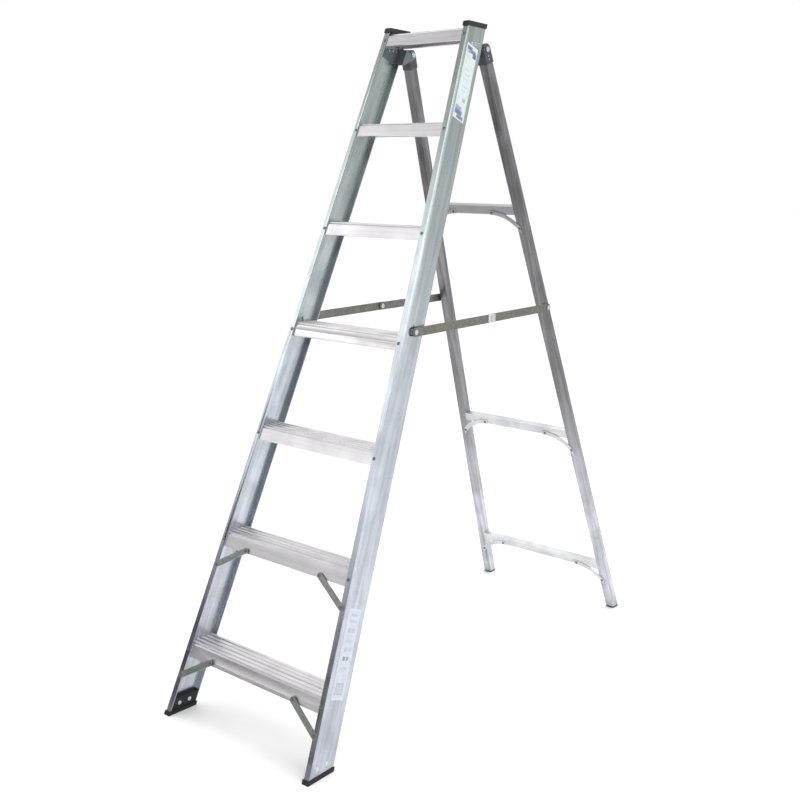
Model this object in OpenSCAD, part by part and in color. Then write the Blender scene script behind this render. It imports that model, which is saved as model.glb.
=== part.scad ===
// Single-sided swing-back step ladder in aluminium: six treads, a top tread, a folding rear frame
// and two folding spreader bars. +Z is up, the climber stands at -Y and faces +Y.
// The origin is on the floor, at the centre of the opened ladder.
// Right is +X. Each frame is drawn upright as (x, depth, height along the frame), then leaned.

/* [Stance] */
// Lean of the front frame from the vertical, degrees
front_lean = 21; // [18:0.5:23]
// Lean of the rear frame from the vertical, degrees
rear_lean = 21; // [18:0.5:23]
// Width over the stiles at the floor
base_w = 528; // [440:2:640]
// Inward slope of each stile, degrees
front_splay = 3.3; // [2:0.1:3.6]
// Inward slope of each rear leg, degrees
rear_splay = 3.5; // [2.5:0.1:3.7]
// Height of the stile tops above the floor
stile_top_z = 1852; // [1500:1:2250]

/* [Stiles] */
// Depth of the stile channel, front to back
stile_d = 80; // [66:1:96]
// Width of the stile flanges
flange_w = 16; // [14:1:24]
// Thickness of the stile web
web_t = 2; // [1.5:0.1:3]
// Thickness of the stile flanges
flange_t = 2.5; // [2:0.1:3.5]

/* [Treads] */
// Height of the first tread's front edge, along the stile
first_tread = 194; // [180:1:200]
// Distance of the top tread's front edge below the stile tops
top_tread_drop = 6.3; // [6:0.1:20]
// Distance by which the top tread is nearer to the one below it than the others are, along the stile
top_pitch_cut = 17; // [0:1:30]
// Depth of the tread lips
lip_h = 35; // [29:1:42]
// Thickness of the tread wall
tread_t = 2.2; // [1.8:0.1:3]
// Width of the bead along a lip's lower edge
bead_w = 4.4; // [3.5:0.1:6]
// Size of the bevel along a tread's front edge
nose = 3; // [1:0.5:3]
// Height of the grip ribs
rib_h = 1.5; // [1:0.1:2]
// Width of each grip rib
rib_w = 8; // [5:0.5:9]
// Distance from one grip rib to the next
rib_pitch = 15; // [12:0.5:18]
// Gap between a tread's end and the web
tread_end_gap = 0.5; // [0.3:0.1:1]

/* [Rivets] */
// Radius of the tread rivets
rivet_r = 2.4; // [2:0.1:2.8]
// Radius of a rivet's head
rivet_head_r = 4.6; // [4:0.1:5.2]
// Height of a rivet's head
rivet_head_h = 1.6; // [1.2:0.1:2]
// Radius of the head of a foot's rivet
foot_head_r = 7; // [5:0.5:7.5]
// Gap around a rivet in its hole
rivet_gap = 0.05; // [0.03:0.01:0.1]

/* [Knee braces] */
// Width of the brace strap
brace_w = 16; // [14:1:16]
// Thickness of the brace strap
brace_t = 2.5; // [2:0.1:3]
// Distance of the brace's upper rivet from the flange's middle
brace_reach = 92; // [70:1:110]
// Distance of the brace's lower rivet below the tread's lip
brace_drop = 50; // [40:1:90]

/* [Caps and feet] */
// Height of the stile caps
cap_h = 14; // [10:1:18]
// Overhang of the caps and soles past the stile
cap_over = 2.5; // [1:0.5:3]
// Depth of the plug under each cap
cap_plug = 4; // [2:0.5:4]
// Thickness of the front feet's soles
sole_t = 10; // [8:1:14]
// Height of the foot block inside the stile
shoe_block_h = 30; // [24:1:40]
// Height of the rear feet
rear_foot_h = 6; // [5:1:12]
// Length of the rear feet's plug inside the leg
rear_plug_l = 30; // [20:1:40]
// Wall-side gap of the rear feet's plug
plug_gap = 0.15; // [0.1:0.05:0.3]

/* [Hinges] */
// Distance of the hinge pins below the top tread's front edge, along the stile
hinge_drop = 12; // [12:1:30]
// Distance of the hinge pins behind the stile
hinge_back = 26; // [23:1:32]
// Thickness of the hinge bracket
bracket_t = 3; // [2:0.5:4]
// Length of the hinge bracket below the pin
bracket_drop = 46; // [46:1:64]
// Radius of the bracket's ear
ear_r = 13; // [11:0.5:13]
// Radius of the hinge pins
pin_r = 4; // [3:0.1:5]
// Running gap around the hinge pins
pin_gap = 0.05; // [0.03:0.01:0.1]
// Radius of the pin's heads
pin_head_r = 7.5; // [6:0.1:8]
// Thickness of the pin's heads
pin_head_t = 2.5; // [2:0.1:3]
// Gap between the leg's shoe and the ear on one side, and the pin's head on the other
ear_gap = 1; // [0.8:0.1:2]
// Wall of the leg's hinge shoe
shoe_wall = 2; // [1.5:0.1:2]
// Length of the hinge shoe below the pin
shoe_l = 40; // [38:1:60]

/* [Rear frame] */
// Width of the leg tube, along X
leg_w = 26; // [22:1:30]
// Depth of the leg tube, front to back
leg_d = 30; // [26:1:30]
// Wall of the leg and rung tubes
tube_t = 1.5; // [1.2:0.1:2.5]
// Height of the rung tubes
rung_h = 26; // [22:1:32]
// Depth of the rung tubes
rung_d = 20; // [16:1:24]
// Distance of the top rung's upper face below the hinge pins, along the leg
top_rung_drop = 468; // [440:1:500]
// Height of the middle rung's upper face, along the leg
rung_middle = 692; // [600:1:760]
// Height of the bottom rung's upper face, along the leg
rung_bottom = 184; // [160:1:240]
// Length of the corner gussets along the rung
gusset_run = 90; // [76:1:100]
// Radius of the gusset's curve
gusset_r = 130; // [124:1:160]
// Width of the gusset strap
gusset_w = 14; // [12:1:18]
// Thickness of the gusset strap
gusset_t = 2; // [1.5:0.1:2.5]
// Overlap of the gusset's lower end on the leg
gusset_lap = 16; // [14:1:18]
// Height of the gusset's middle line above the rung's lower face, at its upper end
gusset_rise = 6; // [6:0.5:9]

/* [Spreaders] */
// Distance of the front pivots above the fourth tread's front edge, along the stile
spread_front_rise = 26; // [10:1:60]
// Depth of the front pivots in the stile
spread_front_q = 40; // [30:1:50]
// Length by which a spreader's front bar is the longer of its two
link_difference = 45; // [35:1:55]
// Width of the spreader bars
link_w = 24; // [20:1:30]
// Thickness of the spreader bars
link_t = 3; // [2.5:0.1:4]
// Gap between the two bars of a spreader
link_gap = 0.4; // [0.3:0.1:1]
// Radius of the spreader pivots
pivot_r = 4; // [3:0.1:5]
// Running gap around the spreader pivots
pivot_gap = 0.05; // [0.03:0.01:0.1]
// Radius of the spreader pivots' heads
pivot_head_r = 7; // [6:0.1:9]
// Thickness of the spreader pivots' heads
pivot_head_t = 2; // [1.5:0.1:3]
// Distance from the web to the inner bar at the front pivot
link_stand = 2.6; // [2:0.1:5]
// Length of the stop plate on the knuckle
stop_l = 34; // [28:1:50]
// Thickness of the stop plate
stop_t = 1.5; // [1:0.1:2]

/* [Labels] */
// Thickness of the label sheets
label_t = 0.3; // [0.2:0.1:0.6]
// Distance of the upper label from the stile's edges
upper_label_edge = 14; // [14:0.5:22]
// Length of the upper label
upper_label_l = 222; // [150:1:230]
// Distance of the upper label's top below the lowest bracket rivet, along the stile
upper_label_gap = 0.6; // [0.5:0.1:60]
// Width of the lower label
lower_label_w = 46; // [30:1:50]
// Length of the lower label
lower_label_l = 217; // [120:1:220]
// Height of the lower label's lower edge, along the stile
lower_label_s = 196; // [160:1:260]

/* [Hidden] */
$fn = 48;
eps = 0.01;
far = 4000;

// Colours
mill = "#c9cccf";
lip_metal = "#dcdcdc";
zinc = "#7c7c76";
steel = "#5a6065";
black = "#1c1e20";
stud = "#8a8d90";
sheet = "#e8ebee";

// Front frame: hinge pin place, then the frame's place on the floor
top_tread_s = (stile_top_z - top_tread_drop) / cos(front_lean);
hinge_s = top_tread_s - hinge_drop;
hinge_q = stile_d + hinge_back;
pin_y = hinge_q * cos(front_lean) + hinge_s * sin(front_lean);
pin_z = hinge_s * cos(front_lean) - hinge_q * sin(front_lean);
leg_reach = pin_z / cos(rear_lean);
foot_front = cap_over / cos(front_lean);
foot_rear = pin_y + pin_z * tan(rear_lean) + leg_d / 2 / cos(rear_lean);
front_y = (foot_front - foot_rear) / 2;

// Tread section
lip_q = flange_t;
lip_end = stile_d - flange_t;
rib_count = floor((lip_end - lip_q - 2 * nose - rib_w) / rib_pitch) + 1;
rib_margin = (lip_end - lip_q - rib_w - (rib_count - 1) * rib_pitch) / 2;
tread_count = 6;
tread_pitch = (top_tread_s + top_pitch_cut - first_tread) / tread_count;
brace_count = 2;
tread_rivet_drop = 17;
rivet_bulge = 1.2;

// Rear frame
plate_gap = 0.02;
leg_x = half_front(hinge_s) - shoe_wall;
ear_inset = 2 * shoe_wall + leg_w + ear_gap;
leg_top_gap = 4;
leg_top = -pin_r - leg_top_gap;
shoe_round = leg_d / 2 + shoe_wall;
shoe_clear = 0.15;
lap_level = -leg_d / 2;
rung_tops = [-top_rung_drop, rung_middle - leg_reach, rung_bottom - leg_reach];

// Spreaders: the bars are straight with the ladder open, and lie along the stile when it is folded
spread_front_s = tread_s(4) + spread_front_rise;
spread_rear_drop = hinge_s - spread_front_s - link_difference;
front_pivot_y = spread_front_q * cos(front_lean) + spread_front_s * sin(front_lean);
front_pivot_z = spread_front_s * cos(front_lean) - spread_front_q * sin(front_lean);
rear_pivot_y = pin_y + spread_rear_drop * sin(rear_lean);
rear_pivot_z = pin_z - spread_rear_drop * cos(rear_lean);
spread_y = rear_pivot_y - front_pivot_y;
spread_z = rear_pivot_z - front_pivot_z;
spread_len = sqrt(spread_y * spread_y + spread_z * spread_z);
spread_rise = atan2(spread_z, spread_y);
front_link_l = (spread_len + link_difference) / 2;
rear_link_l = (spread_len - link_difference) / 2;
inner_link_x = half_front(spread_front_s) + link_stand;
outer_link_x = inner_link_x + link_t + link_gap;
boss_tilt_gap = 0.5;
boss_float = 0.2;
head_float = 0.2;

// Half of the width over the stiles at a height along the stile
function half_front(s) = base_w / 2 - s * tan(front_splay);
// Outer face of the rear leg at a height above (or, below zero, under) the hinge pin
function half_rear(s) = leg_x - s * tan(rear_splay);
// Height of the tread's upper face at a depth, for a front edge at height s
function tread_face(s, q) = s + (q - lip_q) * tan(front_lean);
function tread_s(i) = first_tread + (i - 1) * tread_pitch;

// Frames
module front_frame() {
  translate([0, front_y, 0]) rotate([-front_lean, 0, 0]) children();
}

module rear_frame() {
  translate([0, front_y + pin_y, pin_z]) rotate([rear_lean, 0, 0]) children();
}

// Right stile's own frame: x = 0 is the web's outer face, z runs along the stile from height s
module on_stile(s = 0) {
  front_frame() translate([half_front(s), 0, s]) rotate([0, -front_splay, 0]) children();
}

// Right leg's own frame: x = 0 is the leg's outer face, z = 0 is level with the hinge pin
module on_leg() {
  rear_frame() translate([leg_x, 0, 0]) rotate([0, -rear_splay, 0]) children();
}

module side(name) {
  if (name == "left") mirror([1, 0, 0]) children();
  else children();
}

// Keeps what lies between two heights above the floor
module between_levels(low, high) {
  intersection() {
    children();
    translate([-far / 2, -far / 2, low]) cube([far, far, high - low]);
  }
}

// A bar along X between two faces
module bar_x(x0, x1, r) {
  translate([x0, 0, 0]) rotate([0, 90, 0]) cylinder(r = r, h = x1 - x0);
}

// A rivet along +Y: its head stands before y = 0 and its tail after y = grip
module rivet_y(grip, head_r = rivet_head_r) {
  rotate([-90, 0, 0]) {
    cylinder(r = rivet_r, h = grip);
    translate([0, 0, -rivet_head_h]) cylinder(r1 = head_r * 0.6, r2 = head_r, h = rivet_head_h);
    translate([0, 0, grip]) cylinder(r1 = head_r * 0.8, r2 = head_r * 0.5, h = rivet_bulge);
  }
}

// A rivet along -X: its head stands outside x = 0 and its tail inside x = -grip
module rivet_x(grip, head_r = rivet_head_r) {
  rotate([0, 0, 90]) rivet_y(grip, head_r);
}

module rivet_hole_y(depth) {
  translate([0, -eps, 0]) rotate([-90, 0, 0]) cylinder(r = rivet_r + rivet_gap, h = depth + 2 * eps);
}

module rivet_hole_x(depth) {
  rotate([0, 0, 90]) rivet_hole_y(depth);
}

// Places of the tread rivets on one stile: [height of the tread, front or back]
module at_tread_rivets() {
  tread_heights = [for (i = [1 : tread_count]) tread_s(i), top_tread_s];
  for (s = tread_heights) {
    translate([half_front(s) - flange_w / 2, 0, s - tread_rivet_drop]) children(0);
    translate([half_front(s) - flange_w / 2, stile_d, tread_face(s, lip_end) - tread_rivet_drop])
      mirror([0, 1, 0]) children(0);
  }
}

// Places of the brace's two rivets for a tread at height s
function brace_low(s) = [half_front(s) - flange_w / 2, s - lip_h - brace_drop];
function brace_high(s) = [half_front(s) - flange_w / 2 - brace_reach, s - lip_h + rivet_head_r + 2];

// Bracket rivets as [depth, height from the hinge pin]
bracket_rivets = [for (q = [stile_d - 44, stile_d - 29, stile_d - 14])
  [q, bracket_top(q) - rivet_head_r - 1]];

// Upper edge of the bracket at a depth, from the hinge pin: level, just under the top tread's beads
function bracket_top(q) = tread_face(top_tread_s, q) - lip_h - bead_w * tan(front_lean) - 1 - hinge_s;

// Front foot rivets as [depth, height along the stile]: both are mid-height in the foot block
foot_rivet_depths = [0.3 * stile_d, 0.68 * stile_d];
function foot_rivet_height(q) = (sole_t + shoe_block_h / 2 + q * sin(front_lean)) / cos(front_lean);
foot_rivet_places = [for (q = foot_rivet_depths) [q, foot_rivet_height(q)]];

// Front frame parts
module channel_section() {
  difference() {
    translate([-flange_w, 0]) square([flange_w, stile_d]);
    translate([-flange_w - eps, flange_t]) square([flange_w - web_t + eps, stile_d - 2 * flange_t]);
  }
}

module front_stile() {
  color(mill) difference() {
    between_levels(sole_t, stile_top_z)
      on_stile() translate([0, 0, -stile_d]) linear_extrude(stile_top_z * 1.3) channel_section();
    front_frame() {
      at_tread_rivets() rivet_hole_y(flange_t);
      for (i = [1 : brace_count]) {
        place = brace_low(tread_s(i));
        translate([place[0], 0, place[1]]) rivet_hole_y(flange_t);
      }
      translate([half_front(spread_front_s) - 2 * web_t, spread_front_q, spread_front_s])
        bar_x(0, 4 * web_t, pivot_r + pivot_gap);
    }
    on_stile(hinge_s) for (p = bracket_rivets) translate([0, p[0], p[1]]) rivet_hole_x(web_t);
    on_stile() for (p = foot_rivet_places) translate([0, p[0], p[1]]) rivet_hole_x(web_t);
  }
}

// Outline of one grip rib that starts at depth q, from front to back
function rib_outline(s, q) = [
  [q, tread_face(s, q)], [q, tread_face(s, q) + rib_h],
  [q + rib_w, tread_face(s, q + rib_w) + rib_h], [q + rib_w, tread_face(s, q + rib_w)]
];

// A level ribbed top with a bevelled front edge, and two lips along the stile, each with an inward
// bead at its lower edge
module tread_section(s) {
  front_low = s - lip_h;
  rear_low = tread_face(s, lip_end) - lip_h;
  top = [for (i = [0 : rib_count - 1]) each rib_outline(s, lip_q + rib_margin + i * rib_pitch)];
  rear_lip = [
    [lip_end, tread_face(s, lip_end)], [lip_end, rear_low], [lip_end - bead_w, rear_low],
    [lip_end - bead_w, rear_low + tread_t], [lip_end - tread_t, rear_low + tread_t],
    [lip_end - tread_t, tread_face(s, lip_end - tread_t) - tread_t]
  ];
  front_lip = [
    [lip_q + nose + tread_t, tread_face(s, lip_q + nose + tread_t) - tread_t],
    [lip_q + tread_t, s - nose - tread_t], [lip_q + tread_t, front_low + tread_t],
    [lip_q + bead_w, front_low + tread_t], [lip_q + bead_w, front_low]
  ];
  edge = [[lip_q, front_low], [lip_q, s - nose], [lip_q + nose, tread_face(s, lip_q + nose)]];
  polygon(concat(edge, top, rear_lip, front_lip));
}

// What lies between the two webs, less the end gap
module inside_webs(s_low, s_high) {
  inner = web_t / cos(front_splay) + tread_end_gap;
  rotate([90, 0, 0]) translate([0, 0, -2 * stile_d]) linear_extrude(3 * stile_d) polygon([
    [half_front(s_low) - inner, s_low], [half_front(s_high) - inner, s_high],
    [inner - half_front(s_high), s_high], [inner - half_front(s_low), s_low]
  ]);
}

module tread_bar(s) {
  front_frame() intersection() {
    translate([-base_w / 2, 0, 0]) rotate([90, 0, 90]) linear_extrude(base_w) tread_section(s);
    inside_webs(s - 2 * lip_h, s + 2 * lip_h);
  }
}

module tread_end_holes() {
  for (name = ["left", "right"]) side(name) front_frame() {
    at_tread_rivets() translate([0, flange_t, 0]) rivet_hole_y(tread_t);
  }
}

module tread(i) {
  s = tread_s(i);
  color(lip_metal) difference() {
    tread_bar(s);
    tread_end_holes();
    if (i <= brace_count) for (name = ["left", "right"]) side(name) front_frame()
      translate([brace_high(s)[0], flange_t, brace_high(s)[1]]) rivet_hole_y(tread_t);
  }
}

module top_tread() {
  color(lip_metal) difference() {
    tread_bar(top_tread_s);
    tread_end_holes();
  }
}

module tread_rivets() {
  color(stud) for (name = ["left", "right"]) side(name) front_frame()
    at_tread_rivets() rivet_y(flange_t + tread_t);
}

module knee_brace(i, name) {
  low = brace_low(tread_s(i));
  high = brace_high(tread_s(i));
  run = [high[0] - low[0], high[1] - low[1]];
  length = sqrt(run[0] * run[0] + run[1] * run[1]);
  color(mill) side(name) front_frame() difference() {
    union() {
      rotate([90, 0, 0]) linear_extrude(brace_t) {
        translate(low) rotate(atan2(run[1], run[0])) translate([0, -brace_w / 2]) square([length, brace_w]);
        translate(low) circle(d = brace_w);
        translate(high) circle(d = brace_w);
      }
      translate([high[0], -eps, high[1]]) rotate([-90, 0, 0]) cylinder(r = rivet_head_r, h = flange_t + eps);
    }
    translate([low[0], -brace_t, low[1]]) rivet_hole_y(brace_t);
    translate([high[0], -brace_t, high[1]]) rivet_hole_y(brace_t + flange_t);
  }
}

module knee_brace_rivets() {
  color(stud) for (name = ["left", "right"]) side(name) front_frame() for (i = [1 : brace_count]) {
    low = brace_low(tread_s(i));
    high = brace_high(tread_s(i));
    translate([low[0], -brace_t, low[1]]) rivet_y(brace_t + flange_t);
    translate([high[0], -brace_t, high[1]]) rivet_y(brace_t + flange_t + tread_t);
  }
}

module cap_block() {
  on_stile() translate([-flange_w - cap_over, -cap_over, -stile_d])
    cube([flange_w + 2 * cap_over, stile_d + 2 * cap_over, stile_top_z * 1.3]);
}

// The space inside the channel, up to the flanges' free edges
module channel_fill(edge = 0) {
  on_stile() translate([-flange_w + edge, flange_t, -stile_d])
    cube([flange_w - web_t - edge, stile_d - 2 * flange_t, stile_top_z * 1.3]);
}

module stile_cap(name) {
  color(black) side(name) {
    between_levels(stile_top_z, stile_top_z + cap_h) cap_block();
    between_levels(stile_top_z - cap_plug, stile_top_z + eps) channel_fill(1);
  }
}

module front_foot(name) {
  color(black) side(name) difference() {
    union() {
      between_levels(0, sole_t) cap_block();
      between_levels(sole_t - eps, sole_t + shoe_block_h) channel_fill(1);
    }
    on_stile() for (p = foot_rivet_places) translate([0, p[0], p[1]]) rivet_hole_x(flange_w);
  }
}

module front_foot_rivets() {
  color(stud) for (name = ["left", "right"]) side(name)
    on_stile() for (p = foot_rivet_places) translate([0, p[0], p[1]]) rivet_x(flange_w - 1, foot_head_r);
}

// One pressed plate: on the web, across the rear flange, and back past its edge to an ear around the pin
module hinge_bracket(name) {
  front_q = flange_t + 1;
  lip_back = stile_d - flange_t - plate_gap;
  lip_front = lip_back - bracket_t;
  lip_top = bracket_top(lip_front);
  low = -bracket_drop;
  color(steel) side(name) difference() {
    on_stile(hinge_s) {
      translate([-web_t - plate_gap, 0, 0]) rotate([0, -90, 0]) linear_extrude(bracket_t) polygon([
        [bracket_top(front_q), front_q], [low + 20, front_q], [low + 5, front_q + 6], [low, front_q + 16],
        [low, lip_back], [lip_top, lip_back], [lip_top, lip_front]
      ]);
      translate([-ear_inset - bracket_t, lip_front, low])
        cube([ear_inset + bracket_t - web_t - plate_gap - eps, bracket_t, lip_top - low]);
      translate([-ear_inset, 0, 0]) rotate([0, -90, 0]) linear_extrude(bracket_t) {
        polygon([
          [low, lip_front], [low, lip_back + 3], [-ear_r * 0.7, hinge_q + ear_r * 0.7],
          [0, hinge_q], [lip_top, lip_front]
        ]);
        translate([0, hinge_q]) circle(r = ear_r);
      }
    }
    front_frame() translate([half_front(hinge_s) - ear_inset - 2 * bracket_t, hinge_q, hinge_s])
      bar_x(0, 3 * bracket_t, pin_r + rivet_gap);
    on_stile(hinge_s) for (p = bracket_rivets)
      translate([-web_t, p[0], p[1]]) rivet_hole_x(bracket_t + plate_gap);
  }
}

module hinge_bracket_rivets() {
  color(stud) for (name = ["left", "right"]) side(name)
    on_stile(hinge_s) for (p = bracket_rivets)
      translate([0, p[0], p[1]]) rivet_x(web_t + plate_gap + bracket_t);
}

module hinge_pin(name) {
  outer_x = leg_x + shoe_wall + ear_gap;
  inner_x = half_front(hinge_s) - ear_inset - bracket_t - boss_tilt_gap;
  color(stud) side(name) front_frame() translate([0, hinge_q, hinge_s]) {
    bar_x(inner_x, outer_x, pin_r);
    bar_x(outer_x, outer_x + pin_head_t, pin_head_r);
    bar_x(inner_x - pin_head_t, inner_x, pin_head_r);
  }
}

// A stepped stud along X: tail inside the wall, boss outside it, journal and outer head
module pivot_stud(wall_x, wall, boss_x, head_x) {
  bar_x(wall_x - wall - boss_tilt_gap - pivot_head_t, wall_x - wall - boss_tilt_gap, pivot_head_r);
  bar_x(wall_x - wall - boss_tilt_gap, head_x, pivot_r);
  bar_x(wall_x + boss_tilt_gap, boss_x, pivot_head_r);
  bar_x(head_x, head_x + pivot_head_t, pivot_head_r);
}

module spreader_front_pivots() {
  web_x = half_front(spread_front_s);
  color(stud) for (name = ["left", "right"]) side(name)
    front_frame() translate([0, spread_front_q, spread_front_s])
      pivot_stud(web_x, web_t, outer_link_x - boss_float, outer_link_x + link_t + head_float);
}

module web_label(s, width, length) {
  color(sheet) on_stile(s) translate([0, (stile_d - width) / 2, 0]) cube([label_t, width, length]);
}

module upper_label() {
  top = hinge_s + min([for (p = bracket_rivets) p[1]]) - rivet_head_r - upper_label_gap;
  web_label(top - upper_label_l, stile_d - 2 * upper_label_edge, upper_label_l);
}

module lower_label() {
  web_label(lower_label_s, lower_label_w, lower_label_l);
}

// Rear frame parts
module leg_box(grow, low, high) {
  on_leg() translate([-leg_w - grow, -leg_d / 2 - grow, low])
    cube([leg_w + 2 * grow, leg_d + 2 * grow, high - low]);
}

// Height of the gusset's middle line at a distance past the leg's inner face, from the rung's lower face
function gusset_line(x) =
  gusset_rise - gusset_r + sqrt(gusset_r * gusset_r - (gusset_run + x) * (gusset_run + x));

// Places of a gusset's two rivets: [distance past the leg's inner face, height from the rung's lower face]
gusset_rivet_places = [for (x = [9 - gusset_run, gusset_lap - rivet_head_r - 1]) [x, gusset_line(x)]];

module at_corner(rung_z) {
  low = rung_z - rung_h;
  rear_frame() translate([half_rear(low) - leg_w / cos(rear_splay), lap_level, low]) children();
}

module at_gusset_rivets(rung_z) {
  at_corner(rung_z) for (p = gusset_rivet_places)
    translate([p[0], 0, p[1]]) children();
}

module rear_leg(name) {
  bottom = -leg_reach * 1.1;
  color(mill) side(name) difference() {
    between_levels(rear_foot_h, far) difference() {
      leg_box(0, bottom, leg_top);
      leg_box(-tube_t, bottom - eps, leg_top + eps);
    }
    for (z = rung_tops) at_gusset_rivets(z) rivet_hole_y(tube_t);
    rear_frame() translate([half_rear(-spread_rear_drop) - 2 * tube_t, 0, -spread_rear_drop])
      bar_x(0, 4 * tube_t, pivot_r + pivot_gap);
    on_leg() for (z = shoe_rivet_places) translate([0, 0, z]) rivet_hole_x(tube_t);
  }
}

module rung_section() {
  difference() {
    square([rung_d, rung_h]);
    translate([tube_t, tube_t]) square([rung_d - 2 * tube_t, rung_h - 2 * tube_t]);
  }
}

module rear_rung(z) {
  color(mill) difference() {
    rear_frame() intersection() {
      translate([-base_w, lap_level, z - rung_h]) rotate([90, 0, 90])
        linear_extrude(2 * base_w) rung_section();
      rotate([90, 0, 0]) translate([0, 0, -leg_d]) linear_extrude(2 * leg_d) polygon([
        for (c = [[-1, z - rung_h], [-1, z], [1, z], [1, z - rung_h]])
          [c[0] * (half_rear(c[1]) - leg_w / cos(rear_splay)), c[1]]
      ]);
    }
    for (name = ["left", "right"]) side(name) at_gusset_rivets(z) rivet_hole_y(tube_t);
  }
}

// Curved strap in the corner under a rung, lapped on the fronts of the rung and the leg
module gusset(z, name) {
  end_x = -gusset_run - 1;
  color(mill) side(name) difference() {
    at_corner(z) rotate([90, 0, 0]) linear_extrude(gusset_t) intersection() {
      translate([-gusset_run, gusset_rise - gusset_r]) difference() {
        circle(r = gusset_r + gusset_w / 2);
        circle(r = gusset_r - gusset_w / 2);
      }
      translate([end_x, gusset_rise - gusset_r]) square([gusset_lap - end_x, gusset_r + gusset_w]);
    }
    at_gusset_rivets(z) translate([0, -gusset_t, 0]) rivet_hole_y(gusset_t);
  }
}

module gusset_rivets() {
  color(stud) for (name = ["left", "right"]) side(name) for (z = rung_tops)
    at_gusset_rivets(z) translate([0, -gusset_t, 0]) rivet_y(gusset_t + tube_t);
}

// Shoe rivets as heights from the hinge pin
shoe_rivet_places = [12 - shoe_l, -pin_r - 15];

module hinge_shoe(name) {
  width = leg_w + 2 * shoe_wall;
  color(steel) side(name) difference() {
    on_leg() translate([shoe_wall, 0, 0]) rotate([0, -90, 0]) linear_extrude(width) {
      circle(r = shoe_round);
      translate([-shoe_l, -shoe_round]) square([shoe_l, 2 * shoe_round]);
    }
    leg_box(shoe_clear, -2 * shoe_l, leg_top + shoe_clear);
    rear_frame() bar_x(leg_x - 2 * leg_w, leg_x + leg_w, pin_r + pin_gap);
    on_leg() for (z = shoe_rivet_places) translate([shoe_wall, 0, z]) rivet_hole_x(shoe_wall);
  }
}

module hinge_shoe_rivets() {
  color(stud) for (name = ["left", "right"]) side(name)
    on_leg() for (z = shoe_rivet_places) translate([shoe_wall, 0, z]) rotate([0, 0, 90]) {
      flush_rivet_y(shoe_wall + tube_t);
    }
}

// A rivet with a head sunk level with the outer face
module flush_rivet_y(grip) {
  rotate([-90, 0, 0]) {
    cylinder(r = rivet_r, h = grip);
    translate([0, 0, grip]) cylinder(r1 = rivet_head_r * 0.8, r2 = rivet_head_r * 0.5, h = rivet_bulge);
  }
}

module rear_foot(name) {
  color(black) side(name) {
    between_levels(0, rear_foot_h) leg_box(0, -leg_reach * 1.1, 0);
    between_levels(rear_foot_h - eps, rear_foot_h + rear_plug_l)
      leg_box(-tube_t - plug_gap, -leg_reach * 1.1, 0);
  }
}

module spreader_rear_pivots() {
  color(stud) for (name = ["left", "right"]) side(name)
    rear_frame() translate([0, 0, -spread_rear_drop])
      pivot_stud(half_rear(-spread_rear_drop), tube_t, inner_link_x - boss_float,
        inner_link_x + link_t + head_float);
}

// Spreader parts: u runs from the front pivot to the rear pivot along the straight spreader
module on_spreader(x) {
  translate([x, front_y + front_pivot_y, front_pivot_z]) rotate([spread_rise, 0, 0]) children();
}

// A flat bar in the plane x = 0, from y = 0 to y = length, with a hole at each end
module link_bar(length, thickness) {
  rotate([90, 0, 90]) linear_extrude(thickness) difference() {
    union() {
      translate([0, -link_w / 2]) square([length, link_w]);
      circle(d = link_w);
      translate([length, 0]) circle(d = link_w);
    }
    circle(r = pivot_r + pivot_gap);
    translate([length, 0]) circle(r = pivot_r + pivot_gap);
  }
}

module spreader_front_link(name) {
  color(zinc) side(name) on_spreader(outer_link_x) link_bar(front_link_l, link_t);
}

module spreader_rear_link(name) {
  color(zinc) side(name) on_spreader(inner_link_x) translate([0, front_link_l, 0])
    link_bar(rear_link_l, link_t);
}

// The knuckle rivet in two halves, one in each bar
module knuckle_rivet_front(name) {
  color(stud) side(name) on_spreader(outer_link_x) translate([0, front_link_l, 0]) {
    bar_x(0, link_t + stop_t, pivot_r);
    bar_x(link_t + stop_t, link_t + stop_t + pivot_head_t, pivot_head_r);
  }
}

module knuckle_rivet_rear(name) {
  color(stud) side(name) on_spreader(inner_link_x) translate([0, front_link_l, 0]) {
    bar_x(0, link_t, pivot_r);
    bar_x(-pivot_head_t, 0, pivot_head_r);
  }
}

module knuckle_stop(name) {
  color(lip_metal) side(name) on_spreader(outer_link_x + link_t) translate([0, front_link_l, 0])
    rotate([90, 0, 90]) linear_extrude(stop_t) difference() {
      translate([-stop_l + link_w / 2, -link_w / 2]) square([stop_l, link_w]);
      circle(r = pivot_r + pivot_gap);
    }
}

side("left") front_stile();  // front_stile_left
front_stile();  // front_stile_right
tread(1);  // tread_1
tread(2);  // tread_2
tread(3);  // tread_3
tread(4);  // tread_4
tread(5);  // tread_5
tread(6);  // tread_6
top_tread();
tread_rivets();
knee_brace(1, "left");  // knee_brace_1_left
knee_brace(1, "right");  // knee_brace_1_right
knee_brace(2, "left");  // knee_brace_2_left
knee_brace(2, "right");  // knee_brace_2_right
knee_brace_rivets();
stile_cap("left");  // stile_cap_left
stile_cap("right");  // stile_cap_right
front_foot("left");  // front_foot_left
front_foot("right");  // front_foot_right
front_foot_rivets();
hinge_bracket("left");  // hinge_bracket_left
hinge_bracket("right");  // hinge_bracket_right
hinge_bracket_rivets();
hinge_pin("left");  // hinge_pin_left
hinge_pin("right");  // hinge_pin_right
spreader_front_pivots();
upper_label();
lower_label();
rear_leg("left");  // rear_leg_left
rear_leg("right");  // rear_leg_right
rear_rung(rung_tops[0]);  // rear_rung_top
rear_rung(rung_tops[1]);  // rear_rung_middle
rear_rung(rung_tops[2]);  // rear_rung_bottom
gusset(rung_tops[0], "left");  // gusset_top_left
gusset(rung_tops[0], "right");  // gusset_top_right
gusset(rung_tops[1], "left");  // gusset_middle_left
gusset(rung_tops[1], "right");  // gusset_middle_right
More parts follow.
